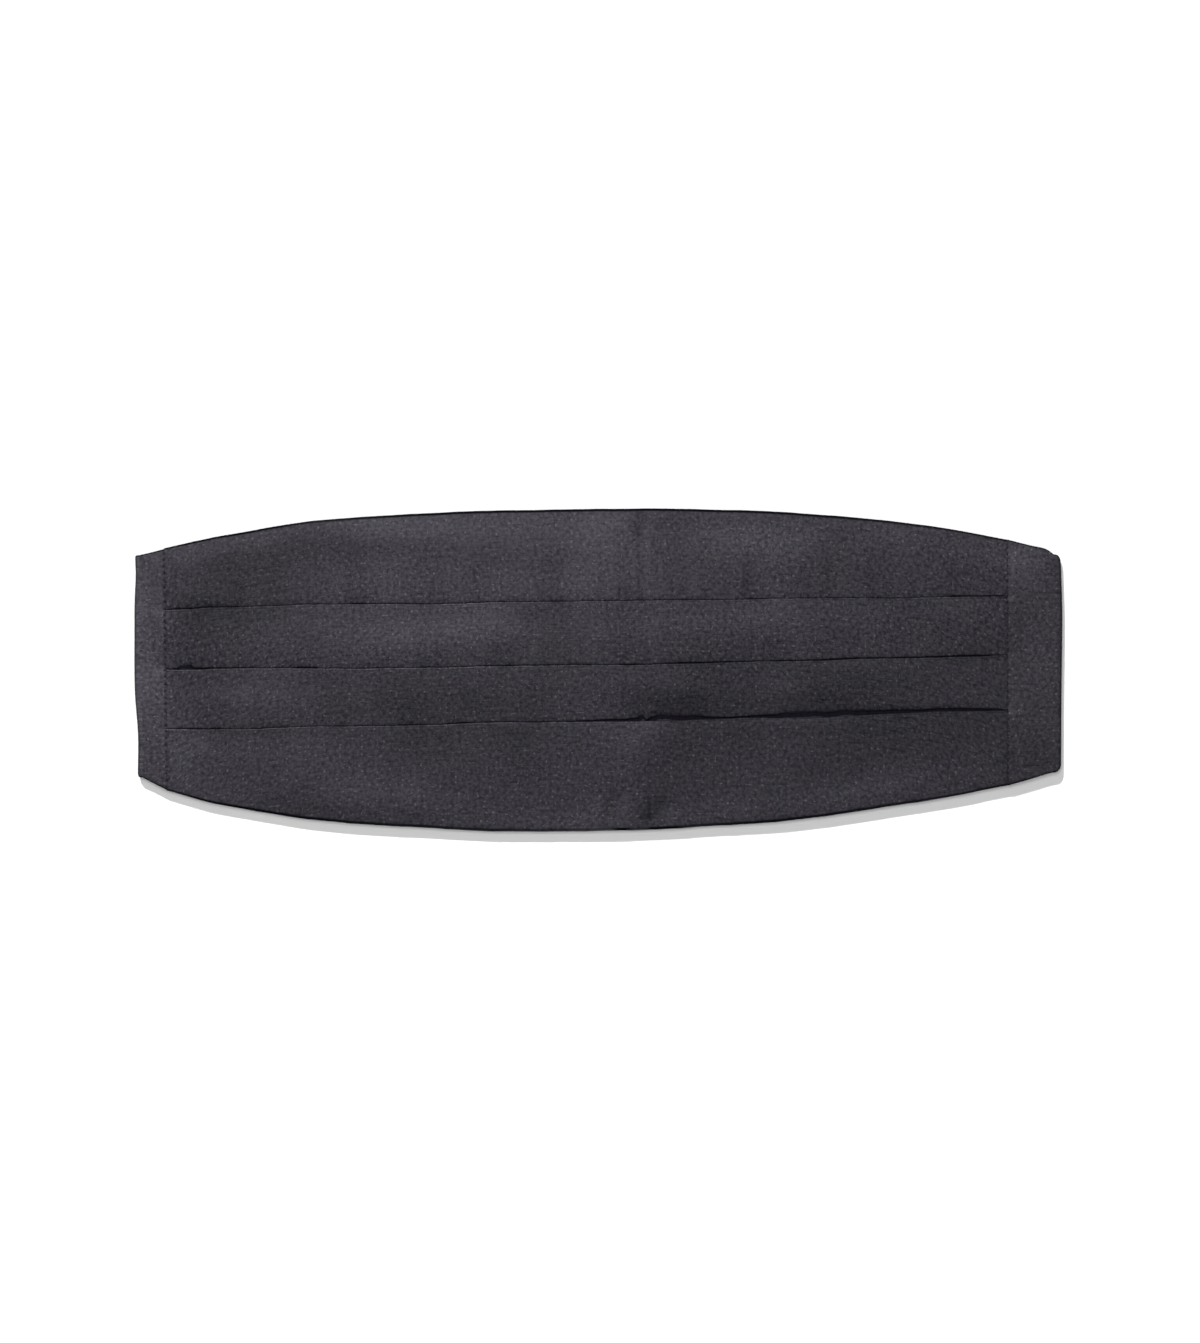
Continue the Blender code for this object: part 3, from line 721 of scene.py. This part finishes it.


# edge is the near-black colour of the painted shade on turned edges and at the stitches
def cloth_material(name, dark, light, speck, edge=(0.0030, 0.0026, 0.0043),
                   within_lightened=(0.0250, 0.0225, 0.0335)):
    """Charcoal satin: mottled yarn, faint slubs, soft sheen, painted sheen and shade patches, painted highlights
    and shade along the folds, painted shade in the seams and on the turned edges.
    """
    m = Nodes(name)
    uv = m.add("ShaderNodeUVMap", uv_map="cloth").outputs["UV"]
    mm = m.scaled(uv, (400.0, 400.0))                    # cloth coordinates in mm

    def mark(key):
        return m.add("ShaderNodeAttribute", attribute_name=key,
                     attribute_type="GEOMETRY").outputs["Fac"]

    # mottled yarn, blotches about a millimetre across
    fine = m.noise(m.scaled(mm, (0.66, 0.69)), 1.0, 1.0, 0.55)
    finer = m.noise(m.scaled(mm, (1.22, 1.35), (31.0, 7.0, 0.0)), 1.0, 1.0, 0.5)
    # weft lines along the cloth, longer than they are high, and fainter warp
    weft = m.noise(m.scaled(mm, (0.13, 1.5), (5.0, 3.0, 0.0)), 1.0, 1.0, 0.55)
    warp = m.noise(m.scaled(mm, (1.3, 0.22), (11.0, 17.0, 0.0)), 1.0, 1.0, 0.5)
    # slow change of tone over the cloth
    cloud = m.noise(m.scaled(mm, (0.045, 0.065), (2.0, 9.0, 0.0)), 1.0, 2.0, 0.5)
    knots = m.add("ShaderNodeTexVoronoi", voronoi_dimensions="2D", feature="F1")
    knots.inputs["Scale"].default_value = 1.0
    knots.inputs["Randomness"].default_value = 1.0
    m.link(m.scaled(mm, (0.55, 0.57), (3.0, 8.0, 0.0)), knots.inputs["Vector"])
    knot = m.ramp(knots.outputs["Distance"], 0.12, 0.62, 0.5, -0.25)
    a = m.ramp(fine, 0.25, 0.75, -0.40, 0.40)
    a = m.math("ADD", a, m.math("MULTIPLY", knot, 0.42))
    b = m.ramp(finer, 0.25, 0.75, -0.26, 0.26)
    c = m.ramp(weft, 0.25, 0.75, -0.16, 0.16)
    d = m.ramp(warp, 0.25, 0.75, -0.08, 0.08)
    e = m.ramp(cloud, 0.30, 0.70, -0.11, 0.11)
    tone = m.math("ADD", m.math("ADD", a, b), m.math("ADD", c, m.math("ADD", d, e)))
    place_uv = m.add("ShaderNodeSeparateXYZ")
    m.link(mm, place_uv.inputs["Vector"])
    depth = m.ramp(place_uv.outputs["Y"], 60.0, 190.0, 1.14, 0.86)
    tone = m.ramp(m.math("MULTIPLY", tone, depth), -0.7, 0.7, 0.0, 1.0)
    colour = m.mix_colour(tone, dark, light)
    warmth = m.noise(m.scaled(mm, (0.62, 0.62), (47.0, 29.0, 0.0)), 1.0, 1.0, 0.5)
    colour = m.mix_colour(1.0, colour, m.mix_colour(m.ramp(warmth, 0.25, 0.75), (0.968, 1.009, 1.022),
                                                    (1.032, 0.991, 0.978)), "MULTIPLY")
    # stray lighter fibres and short dark slubs
    stray = m.noise(m.scaled(mm, (0.80, 0.90), (71.0, 13.0, 0.0)), 1.0, 0.0, 0.4)
    colour = m.mix_colour(m.ramp(stray, 0.74, 0.86, 0.0, 0.65), colour, speck)
    slub = m.noise(m.scaled(mm, (0.060, 1.2), (9.3, 57.0, 0.0)), 1.0, 1.0, 0.5)
    # painted sheen and shade patches; the slubs fade where the painted sheen is
    sheen_shade = mark("nap_sheen_shade")
    streaks = m.ramp(sheen_shade, -0.30, 0.0, 1.0, 0.28)
    colour = m.mix_colour(m.math("MULTIPLY", m.ramp(slub, 0.60, 0.78, 0.0, 1.0), streaks), colour,
                          tuple(0.5 * v for v in dark))
    # painted light along the folds: a painted highlight just under each fold's top edge, painted shade along the
    # pressed line below it, and painted shade on the rounded fold top, toning down its lit face
    below = mark("below")
    lip_highlight = m.ramp(m.math("ABSOLUTE", m.math("SUBTRACT", below, 0.95), 0.0), 0.05, 0.65, 0.03, 0.0)
    press_shade = m.ramp(m.math("ABSOLUTE", m.math("SUBTRACT", below, 1.75), 0.0), 0.1, 0.45, 0.11, 0.0)
    broken = m.ramp(m.noise(m.scaled(mm, (0.10, 0.01), (19.0, 5.0, 0.0)), 1.0, 1.0, 0.5),
                    0.38, 0.60, 0.15, 1.0)
    dashes = m.ramp(m.noise(m.scaled(mm, (0.42, 0.0), (23.0, 2.0, 0.0)), 1.0, 1.0, 0.5),
                    0.38, 0.58, 0.0, 1.0)
    closed = m.math("MULTIPLY", mark("closed"), m.ramp(dashes, 0.0, 1.0, 0.35, 1.0))
    nose_shade = m.math("MULTIPLY", m.ramp(below, 0.28, 1.30, -0.60, 0.0),
                  m.ramp(closed, 0.0, 1.0, 1.0, 0.60))
    # painted light and shade along the folds, broken along their length
    lines = m.math("ADD", m.math("MULTIPLY", m.math("SUBTRACT", lip_highlight, press_shade), broken), nose_shade)
    # painted shade in the seam's shallow hollow and in the dimples of its stitches
    seam = mark("seam")
    coord = m.add("ShaderNodeTexCoord").outputs["Object"]
    split = m.add("ShaderNodeSeparateXYZ")
    m.link(coord, split.inputs["Vector"])
    wander = m.noise(m.scaled(coord, (0.0, 90.0)), 1.0, 1.0, 0.5)
    place = m.math("ADD", m.math("MULTIPLY", split.outputs["Y"], 1000.0 / STITCH), wander)
    beat = m.math("ABSOLUTE", m.math("SUBTRACT", m.math("FRACT", place, 0.0), 0.5), 0.0)
    stitch_mark_and_shade = m.math("MULTIPLY", m.ramp(beat, 0.10, 0.34, 1.0, 0.0), m.ramp(seam, 0.20, 0.80, 1.0, 0.0))
    seam_valley_shade = m.ramp(seam, 0.0, 1.1, 0.10, 0.0)
    # inside the pleats the plain yarn, dull, painted lighter to lift the shade there and far lighter where the
    # pleat lies closed, so that its line almost goes
    inner = mark("inner")
    within_painted_light = m.mix_colour(closed, within_lightened, tuple(4.4 * v for v in within_lightened))
    colour = m.mix_colour(m.math("MULTIPLY", inner, m.ramp(dashes, 0.0, 1.0, 0.55, 1.0)),
                          colour, within_painted_light)
    # the painted sheen and shade, and the painted fold lights and shades, scale the colour
    shade = m.math("ADD", 1.0, m.math("MULTIPLY", sheen_shade, m.ramp(inner, 0.0, 1.0, 1.0, 0.0)))
    factor = m.math("ADD", shade, m.math("SUBTRACT", lines, seam_valley_shade))
    scale = m.add("ShaderNodeVectorMath", operation="SCALE")
    m.link(colour, scale.inputs[0])
    m.link(factor, scale.inputs["Scale"])
    # the stitch dimples darken towards the near-black as painted shade
    colour = m.mix_colour(m.math("MULTIPLY", stitch_mark_and_shade, 0.50), scale.outputs["Vector"], edge)
    # painted shade: the turned edges, hem layers and panel backs darken towards the near-black edge colour
    turned = mark("turned")
    colour = m.mix_colour(turned, colour, edge)
    m.link(colour, m.shader.inputs["Base Color"])
    m.link(m.ramp(fine, 0.3, 0.7, 0.40, 0.48), m.shader.inputs["Roughness"])
    dull = m.math("MAXIMUM", m.math("MAXIMUM", turned, inner), m.math("MULTIPLY", stitch_mark_and_shade, 0.7))
    # the reflection's strength follows the same painted sheen and shade
    sheen = m.math("MULTIPLY", m.ramp(dull, 0.0, 0.9, 0.262, 0.0),
                   m.math("MULTIPLY", m.ramp(fine, 0.3, 0.7, 0.75, 1.2), factor))
    m.link(sheen, m.shader.inputs["Specular IOR Level"])
    m.shader.inputs["Specular Tint"].default_value = (0.94, 0.89, 1.0, 1.0)
    # threads as relief
    relief = m.math("ADD", m.math("MULTIPLY", fine, 0.60), m.math("MULTIPLY", weft, 0.30))
    relief = m.math("ADD", relief, m.math("MULTIPLY", finer, 0.35))
    relief = m.math("SUBTRACT", relief, m.math("MULTIPLY", stitch_mark_and_shade, 0.8))
    bump = m.add("ShaderNodeBump")
    bump.inputs["Strength"].default_value = 0.55
    bump.inputs["Distance"].default_value = 0.00012
    m.link(relief, bump.inputs["Height"])
    m.link(bump.outputs["Normal"], m.shader.inputs["Normal"])
    return m.material


def thread_material():
    m = Nodes("thread")
    coord = m.add("ShaderNodeTexCoord").outputs["Object"]
    twist = m.add("ShaderNodeTexWave", wave_type="BANDS", bands_direction="DIAGONAL")
    twist.inputs["Scale"].default_value = 1500.0
    m.link(coord, twist.inputs["Vector"])
    colour = m.mix_colour(twist.outputs["Fac"], (0.012, 0.011, 0.014), (0.030, 0.028, 0.034))
    m.link(colour, m.shader.inputs["Base Color"])
    m.shader.inputs["Roughness"].default_value = 0.6
    bump = m.add("ShaderNodeBump")
    bump.inputs["Strength"].default_value = 0.4
    bump.inputs["Distance"].default_value = 0.00004
    m.link(twist.outputs["Fac"], bump.inputs["Height"])
    m.link(bump.outputs["Normal"], m.shader.inputs["Normal"])
    return m.material


def band_material():
    """Plain ribbed strap."""
    m = Nodes("strap_band")
    uv = m.add("ShaderNodeUVMap", uv_map="cloth").outputs["UV"]
    mm = m.scaled(uv, (400.0, 400.0))
    rib = m.add("ShaderNodeTexWave", wave_type="BANDS", bands_direction="X")
    rib.inputs["Scale"].default_value = 0.32
    rib.inputs["Distortion"].default_value = 0.6
    rib.inputs["Detail"].default_value = 1.0
    m.link(mm, rib.inputs["Vector"])
    grain = m.noise(m.scaled(mm, (1.6, 1.6)), 1.0, 2.0, 0.6)
    tone = m.math("ADD", m.math("MULTIPLY", rib.outputs["Fac"], 0.6),
                  m.math("MULTIPLY", grain, 0.5))
    colour = m.mix_colour(m.ramp(tone, 0.2, 0.9), (0.010, 0.0095, 0.012), (0.034, 0.032, 0.039))
    m.link(colour, m.shader.inputs["Base Color"])
    m.link(m.ramp(grain, 0.3, 0.7, 0.55, 0.75), m.shader.inputs["Roughness"])
    bump = m.add("ShaderNodeBump")
    bump.inputs["Strength"].default_value = 0.6
    bump.inputs["Distance"].default_value = 0.00015
    m.link(rib.outputs["Fac"], bump.inputs["Height"])
    m.link(bump.outputs["Normal"], m.shader.inputs["Normal"])
    return m.material


def clasp_material():
    """Dark plated metal with a fine brushed grain and worn spots."""
    m = Nodes("clasp_plate")
    coord = m.add("ShaderNodeTexCoord").outputs["Object"]
    brushed = m.add("ShaderNodeMapping")
    brushed.inputs["Scale"].default_value = (3000.0, 260.0, 3000.0)
    m.link(coord, brushed.inputs["Vector"])
    grain = m.add("ShaderNodeTexNoise")
    grain.inputs["Scale"].default_value = 1.0
    grain.inputs["Detail"].default_value = 3.0
    m.link(brushed.outputs["Vector"], grain.inputs["Vector"])
    wear = m.add("ShaderNodeTexNoise")
    wear.inputs["Scale"].default_value = 420.0
    wear.inputs["Detail"].default_value = 4.0
    m.link(coord, wear.inputs["Vector"])
    colour = m.mix_colour(m.ramp(wear.outputs["Fac"], 0.52, 0.70), (0.09, 0.09, 0.10),
                          (0.20, 0.19, 0.19))
    m.link(colour, m.shader.inputs["Base Color"])
    m.shader.inputs["Metallic"].default_value = 1.0
    m.link(m.ramp(grain.outputs["Fac"], 0.3, 0.7, 0.26, 0.44), m.shader.inputs["Roughness"])
    bump = m.add("ShaderNodeBump")
    bump.inputs["Strength"].default_value = 0.25
    bump.inputs["Distance"].default_value = 0.00003
    m.link(grain.outputs["Fac"], bump.inputs["Height"])
    m.link(bump.outputs["Normal"], m.shader.inputs["Normal"])
    return m.material


front_cloth = cloth_material("front_weave", (0.0061, 0.0057, 0.0086), (0.0258, 0.0242, 0.0293),
                             (0.070, 0.061, 0.068))
# the end panels' cloth is the front's weave painted about 15% lighter, as painted light on the strips
panel_cloth = cloth_material("panel_weave_painted_lighter", (0.0069, 0.0064, 0.0095), (0.0300, 0.0280, 0.0332),
                             (0.073, 0.064, 0.072))
thread = thread_material()
band = band_material()
plate = clasp_material()

# ---------------------------------------------------------------- the front
columns = 238
fx, fy, fz, fedge_shade, finner, fbelow, fclosed = front_points(columns)
# the turned mark carries the painted shade of the edges and hems; the seam mark places the painted seam shade
front = grid_mesh("front_sheet", fx, fy, fz,
                  {"turned": fedge_shade, "inner": finner, "below": fbelow, "closed": fclosed,
                   "seam": from_seam(fx, fy) + np.where(fx > 0.0, 0.22, 0.0),
                   "nap_sheen_shade": nap_sheen_shade(fx, fy)}, front_cloth)


# ---------------------------------------------------------------- the end panels
def sewn_profile(column):
    """Heights of the front's uppermost cloth along its end, evened out."""
    ys = np.arange(-52.0, 56.0, 0.25)
    tops = np.full(ys.shape, -1.0)
    for y0, z0, y1, z1 in zip(fy[column], fz[column], fy[column][1:], fz[column][1:]):
        if abs(y1 - y0) > 1e-6:
            t = (ys - y0) / (y1 - y0)
            tops = np.where((t >= 0.0) & (t <= 1.0), np.maximum(tops, mix(z0, z1, t)), tops)
    known = tops > 0.0
    tops = np.interp(ys, ys[known], tops[known])
    spread = np.exp(-0.5 * (np.arange(-12, 13) * 0.25 / 0.8) ** 2)
    padded = np.concatenate([np.full(12, tops[0]), tops, np.full(12, tops[-1])])
    return ys, np.convolve(padded, spread / spread.sum(), mode="valid")


SEWN_PROFILES = {-1.0: sewn_profile(0), 1.0: sewn_profile(-1)}


def panel_sheet(name, side, seam, edges, folds, corners, material):
    """Strip on the face, soft fold, tapering back; its long edges are turned inside."""
    low = WALL / 2.0 + 0.03
    sewn_ys, sewn_zs = SEWN_PROFILES[side]
    radius = (PANEL_RISE - low) / 2.0
    out = radius + WALL / 2.0
    fold_top = curve_through(edges, "x", "top", edges[-1].x)
    fold_bottom = curve_through(edges, "x", "bottom", edges[-1].x)
    hem_depth = 0.95
    r = hem_depth / 2.0

    def fold_x(y):
        drawn = 0.0
        for radius_c, depth in ((corners.top, fold_top - y), (corners.bottom, y - fold_bottom)):
            if depth < radius_c:
                reach = radius_c - max(0.0, depth)
                drawn += radius_c - math.sqrt(max(0.0, radius_c ** 2 - reach ** 2))
        return curve_through(folds, "y", "x", y) - side * drawn

    # how the cloth runs across: distance in from an edge, depth inside, share of the painted edge shade
    steps_face = 92
    across = [("bottom", PANEL_HEM, hem_depth, 1.0), ("bottom", PANEL_HEM * 0.5, hem_depth, 1.0)]
    for i in range(9):
        a = math.pi * i / 8
        across.append(("bottom", r + WALL / 2.0 - r * math.sin(a), r + r * math.cos(a),
                       edge_shade_share(math.pi - a + 0.20)))
    for i in range(1, steps_face):
        across.append(("face", i / steps_face, 0.0, 0.0))
    for i in range(9):
        a = math.pi * (8 - i) / 8
        across.append(("top", r + WALL / 2.0 - r * math.sin(a), r + r * math.cos(a),
                       edge_shade_share(math.pi - a + 0.20)))
    across += [("top", PANEL_HEM * 0.5, hem_depth, 1.0), ("top", PANEL_HEM, hem_depth, 1.0)]

    strip = 22
    turn, back = 14, 24
    total = strip + turn + back
    xs = np.zeros((total + 1, len(across)))
    ys, zs, edge_shade_shares, runs, seams = (xs.copy() for _ in range(5))
    for i in range(total + 1):
        for j, (where, amount, depth, share) in enumerate(across):
            if i <= strip:
                t = i / strip
                t = t * (0.55 + 0.45 * t)         # closer columns at the seam
                guess = mix(seam[0], edges[-1].x, t)
                top = curve_through(edges, "x", "top", guess)
                bottom = curve_through(edges, "x", "bottom", guess)
            elif i <= strip + turn:
                top, bottom = fold_top, fold_bottom
            else:
                t = (i - strip - turn) / back
                top = mix(fold_top, STRAP_WIDTH / 2.0, float(smooth(t)))
                bottom = mix(fold_bottom, -STRAP_WIDTH / 2.0, float(smooth(t)))
            edge_in = r + WALL / 2.0
            if where == "face":
                y = mix(bottom + edge_in, top - edge_in, amount)
            elif where == "top":
                y = top - amount
            else:
                y = bottom + amount
            share_y = (y - bottom) / (top - bottom)
            y_at_fold = mix(fold_bottom, fold_top, share_y)
            if i <= strip:
                start = seam_x(seam, y) + side * SEAM_HALF
                end = fold_x(y_at_fold) - side * out
                x = mix(start, end, t)
                z = PANEL_RISE - depth
                away = abs(x - start)
                z += float(panel_wave(side, x, y, away, abs(end - x)) * smooth(away / 3.0))
                sewn = float(np.interp(y, sewn_ys, sewn_zs))
                calm = float(smooth((min(y - bottom, top - y) - 1.0) / 3.0))
                z += (sewn - PANEL_RISE) * calm * float(1.0 - smooth(away / 7.0))
                if depth < 0.01:
                    z -= (0.06 if side < 0 else 0.02) * max(0.0, 1.0 - away) ** 2
                run = abs(x - start)
            elif i <= strip + turn:
                a = math.pi * (i - strip) / turn
                centre = fold_x(y) - side * out
                rad = radius - depth
                x = centre + side * rad * math.sin(a)
                z = low + radius + rad * math.cos(a)
                run = abs(centre - seam[0]) + radius * a
            else:
                t = (i - strip - turn) / back
                centre = fold_x(y_at_fold) - side * out
                x = mix(centre, side * PANEL_INNER, t)
                z = low + depth
                run = abs(centre - seam[0]) + radius * math.pi + abs(x - centre)
            # painted shade: a dark line round the outer fold, and a smaller share on the panel's back
            fold_shade = 0.0
            if strip < i <= strip + turn:
                a = math.pi * (i - strip) / turn
                fold_shade = (0.50 if side < 0 else 0.75) * edge_shade_share(a - 0.30)
            elif i > strip + turn:
                fold_shade = 0.28
            xs[i, j], ys[i, j], zs[i, j] = x, y, z
            edge_shade_shares[i, j] = max(share, fold_shade)
            runs[i, j] = run
            seams[i, j] = run if i <= strip else FAR
    # cloth coordinates: the thread runs on from the front's
    along = side * runs + seam[0]
    on_face = (np.arange(total + 1) <= strip + 6)[:, None]
    # painted sheen and shade patches on the strip's face
    sheen_shade = nap_sheen_shade(xs, ys)
    # the light catches the folds, the left one more
    caught = np.clip(1.0 - np.abs(np.arange(total + 1) - strip - 1.0) / 3.0, 0.0, 1.0)
    sheen_shade = sheen_shade + (0.40 if side < 0 else 0.06) * caught[:, None]
    # the turned mark carries the panel's painted shade; the seam mark places the painted seam shade
    marks = {"turned": edge_shade_shares, "inner": np.zeros_like(xs), "closed": np.zeros_like(xs),
             "below": np.full_like(xs, FAR),
             "seam": seams + (0.22 if side > 0 else 0.0), "nap_sheen_shade": np.where(on_face, sheen_shade, 0.0)}
    sheet = grid_mesh(name, xs, ys, zs, marks, material, along=along, across=ys + 300.0)
    if side > 0:
        sheet.data.flip_normals()
    return sheet


def panel_wave(side, x, y, from_seam, from_fold):
    """Soft hollows of the strip, echoing the pleats caught in the seam."""
    fade = float(smooth(from_fold / 3.0))
    if side < 0:
        wave = 0.22 * math.exp(-0.5 * ((y - 40.0) / 9.0) ** 2)
        wave -= 0.22 * math.exp(-0.5 * ((y - 3.0) / 6.0) ** 2)
        wave += 0.16 * math.exp(-0.5 * ((y + 14.0) / 8.0) ** 2)
        wave -= 0.25 * math.exp(-0.5 * ((y + 38.0) / 6.0) ** 2)
    else:
        wave = 0.45 * math.exp(-0.5 * (((y - 38.0) / 8.0) ** 2 + ((x - 172.0) / 6.0) ** 2))
        wave -= 0.20 * math.exp(-0.5 * ((y + 31.0) / 6.0) ** 2)
        wave += 0.15 * math.exp(-0.5 * ((y + 5.0) / 11.0) ** 2)
    wave += 0.05 * float(waver(y, 1.1 + side))
    return wave * fade


panel_left = panel_sheet("panel_left_sheet", -1.0, SEAM_LEFT, LEFT_EDGES, LEFT_FOLD,
                         LEFT_CORNERS, panel_cloth)
panel_right = panel_sheet("panel_right_sheet", 1.0, SEAM_RIGHT, RIGHT_EDGES, RIGHT_FOLD,
                          RIGHT_CORNERS, panel_cloth)


# ---------------------------------------------------------------- straps
def strap_sheet(name, side):
    """Band from the panel to the clasp, turned back round the bar and sewn down."""
    low, high, sewn = 0.5, 3.1, 1.8
    radius = (high - low) / 2.0
    path = [(PANEL_INNER - GAP, low)]
    path += [(mix(PANEL_INNER - GAP, BAR_X, i / 16), low) for i in range(1, 17)]
    path += [(BAR_X - radius * math.sin(math.pi * i / 14),
              low + radius * (1.0 - math.cos(math.pi * i / 14))) for i in range(1, 15)]
    path += [(BAR_X + 2.0, high), (BAR_X + 3.2, high - 0.15), (BAR_X + 4.6, 0.5 * (high + sewn)),
             (BAR_X + 6.0, sewn + 0.12), (BAR_X + 7.0, sewn), (BAR_X + 11.0, sewn),
             (BAR_X + STRAP_TURN, sewn)]
    half = STRAP_WIDTH / 2.0 - 0.1
    ys = np.concatenate([[-half, -half + 0.4, -half + 1.0],
                         np.linspace(-half + 2.0, half - 2.0, 15),
                         [half - 1.0, half - 0.4, half]])
    px = np.array([side * p[0] for p in path])
    pz = np.array([p[1] for p in path])
    run = np.concatenate([[0.0], np.cumsum(np.hypot(np.diff(px), np.diff(pz)))])
    x = np.repeat(px[:, None], len(ys), axis=1)
    z = np.repeat(pz[:, None], len(ys), axis=1)
    y = np.repeat(ys[None, :], len(px), axis=0)
    obj = grid_mesh(name, x, y, z, {}, band, wall=0.75,
                    along=np.repeat(run[:, None], len(ys), axis=1), across=y + 100.0)
    if side > 0:
        obj.data.flip_normals()
    rows = []
    for column in (BAR_X + STRAP_TURN - 2.0, BAR_X + STRAP_TURN - 6.0):
        for k in range(9):
            y0 = -13.0 + k * 3.0
            rows.append([(side * column, y0 + 2.0 * t, sewn + 0.40 + 0.10 * math.sin(math.pi * t))
                         for t in (0.0, 0.25, 0.5, 0.75, 1.0)])
    stitches = tube_mesh(name.replace("sheet", "stitches"), rows, 0.16, thread)
    return obj, stitches


strap_left, strap_left_stitches = strap_sheet("strap_left_sheet", -1.0)
strap_right, strap_right_stitches = strap_sheet("strap_right_sheet", 1.0)

# ---------------------------------------------------------------- seam stitches
def seam_stitches(name, seam, side, top, bottom):
    lines = []
    y = bottom + 2.2
    k = 0
    while y < top - 2.6:
        long = 1.45 + 0.18 * math.sin(2.4 * k + side)
        x0 = seam_x(seam, y) + side * (0.10 + 0.06 * math.sin(1.9 * k))
        x1 = x0 + 0.10 * math.sin(3.1 * k + 1.0)
        z = float(np.interp(y, *SEWN_PROFILES[side]))
        z += WALL / 2.0 - (0.04 if side < 0 else 0.16)
        lines.append([(mix(x0, x1, t), y + long * t, z - 0.22 + 0.30 * math.sin(math.pi * t))
                      for t in (0.0, 0.2, 0.5, 0.8, 1.0)])
        y += STITCH + 0.14 * math.sin(1.3 * k)
        k += 1
    return tube_mesh(name, lines, 0.15, thread)


stitches_left = seam_stitches("seam_left_stitches", SEAM_LEFT, -1.0, 48.7, -48.0)
stitches_right = seam_stitches("seam_right_stitches", SEAM_RIGHT, 1.0, 52.3, -46.0)

# ---------------------------------------------------------------- onto the frame
for piece, node, slot in (
    (front, "front_pleated", "front_cloth"),
    (panel_left, "end_panel_left", "panel_cloth"),
    (panel_right, "end_panel_right", "panel_cloth"),
    (strap_left, "strap_left", "strap_cloth"),
    (strap_right, "strap_right", "strap_cloth"),
):
    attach(piece, "root")
    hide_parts(node)
for piece, slot in (
    (stitches_left, "panel_cloth"),
    (stitches_right, "panel_cloth"),
    (strap_left_stitches, "strap_cloth"),
    (strap_right_stitches, "strap_cloth"),
):
    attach(piece, "root")
for node in ("clasp_eye", "clasp_hook"):
    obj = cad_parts[node]
    obj.data.materials.clear()
    obj.data.materials.append(plate)

# ---------------------------------------------------------------- floor
bpy.ops.mesh.primitive_plane_add(size=6.0, location=(0.0, 0.0, -0.00002))
floor = bpy.context.object
floor.name = "floor"
f = Nodes("pale_floor")
f.shader.inputs["Base Color"].default_value = (0.86, 0.86, 0.86, 1.0)
f.shader.inputs["Roughness"].default_value = 0.9
f.shader.inputs["Specular IOR Level"].default_value = 0.1
floor.data.materials.append(f.material)

# a pale wall far round the floor, seen by the camera only
WALL_ROUND, WALL_HIGH = 2.95, 2.6
ring = [(WALL_ROUND * math.cos(2.0 * math.pi * k / 96), WALL_ROUND * math.sin(2.0 * math.pi * k / 96))
        for k in range(96)]
wall_mesh = bpy.data.meshes.new("backdrop")
wall_mesh.from_pydata([(x, y, z) for z in (-0.00002, WALL_HIGH) for x, y in ring], [],
                      [((k + 1) % 96, k, 96 + k, 96 + (k + 1) % 96) for k in range(96)])
backdrop = bpy.data.objects.new("backdrop", wall_mesh)
bpy.context.scene.collection.objects.link(backdrop)
b = Nodes("pale_wall")
b.shader.inputs["Base Color"].default_value = (0.86, 0.86, 0.86, 1.0)
b.shader.inputs["Roughness"].default_value = 0.9
b.shader.inputs["Emission Color"].default_value = (1.0, 1.0, 1.0, 1.0)
b.shader.inputs["Emission Strength"].default_value = 1.0
b.material.cycles.emission_sampling = "NONE"
backdrop.data.materials.append(b.material)
for ray in ("diffuse", "glossy", "transmission", "volume_scatter", "shadow"):
    setattr(backdrop, "visible_" + ray, False)

# ---------------------------------------------------------------- light
world = bpy.data.worlds.new("studio")
bpy.context.scene.world = world
world.use_nodes = True
sky = world.node_tree.nodes["Background"]
sky.inputs["Color"].default_value = (1.0, 1.0, 1.0, 1.0)
sky.inputs["Strength"].default_value = 0.16


def aim(obj, towards):
    obj.rotation_mode = "QUATERNION"
    obj.rotation_quaternion = Vector(towards).to_track_quat("-Z", "Y")


def sun(name, across, elevation, floor_share, angle):
    """A distant light; floor_share is how much of the floor's light it gives."""
    light = bpy.data.lights.new(name, "SUN")
    light.energy = floor_share * math.pi / math.sin(math.radians(elevation))
    light.angle = math.radians(angle)
    obj = bpy.data.objects.new(name, light)
    bpy.context.scene.collection.objects.link(obj)
    flat = Vector((*across, 0.0)).normalized() * math.cos(math.radians(elevation))
    aim(obj, (flat.x, flat.y, -math.sin(math.radians(elevation))))
    return obj


sun("key", (0.342, -0.940), 27.5, 0.82, 2.5)
fill = sun("fill", (-0.342, 0.940), 32.0, 0.28, 50.0)
fill.visible_glossy = False

soft = bpy.data.lights.new("soft", "AREA")
soft.shape = "SQUARE"
soft.size = 0.5
soft.energy = 4.0
soft_obj = bpy.data.objects.new("soft", soft)
bpy.context.scene.collection.objects.link(soft_obj)
soft_obj.location = (-0.14, 0.40, 1.1)
soft_obj.visible_camera = False
aim(soft_obj, -soft_obj.location)

# ---------------------------------------------------------------- camera
LENS = 135.0
PIXEL = 0.40                      # mm of the object for each pixel of the 1200 x 1343 frame
half_field = 18.0 / LENS
distance = (1343.0 * PIXEL / 2.0) / half_field
camera = bpy.data.cameras.new("camera")
camera.lens = LENS
camera.sensor_width = 36.0
camera.clip_start = 0.05
camera.clip_end = 50.0
camera_obj = bpy.data.objects.new("camera", camera)
bpy.context.scene.collection.objects.link(camera_obj)
camera_obj.location = ((600.0 - 598.0) * PIXEL * MM, (670.4 - 671.5) * PIXEL * MM,
                       (distance + 2.5) * MM)
camera_obj.rotation_euler = (0.0, 0.0, 0.0)
bpy.context.scene.camera = camera_obj
bpy.context.scene.view_settings.view_transform = "Standard"
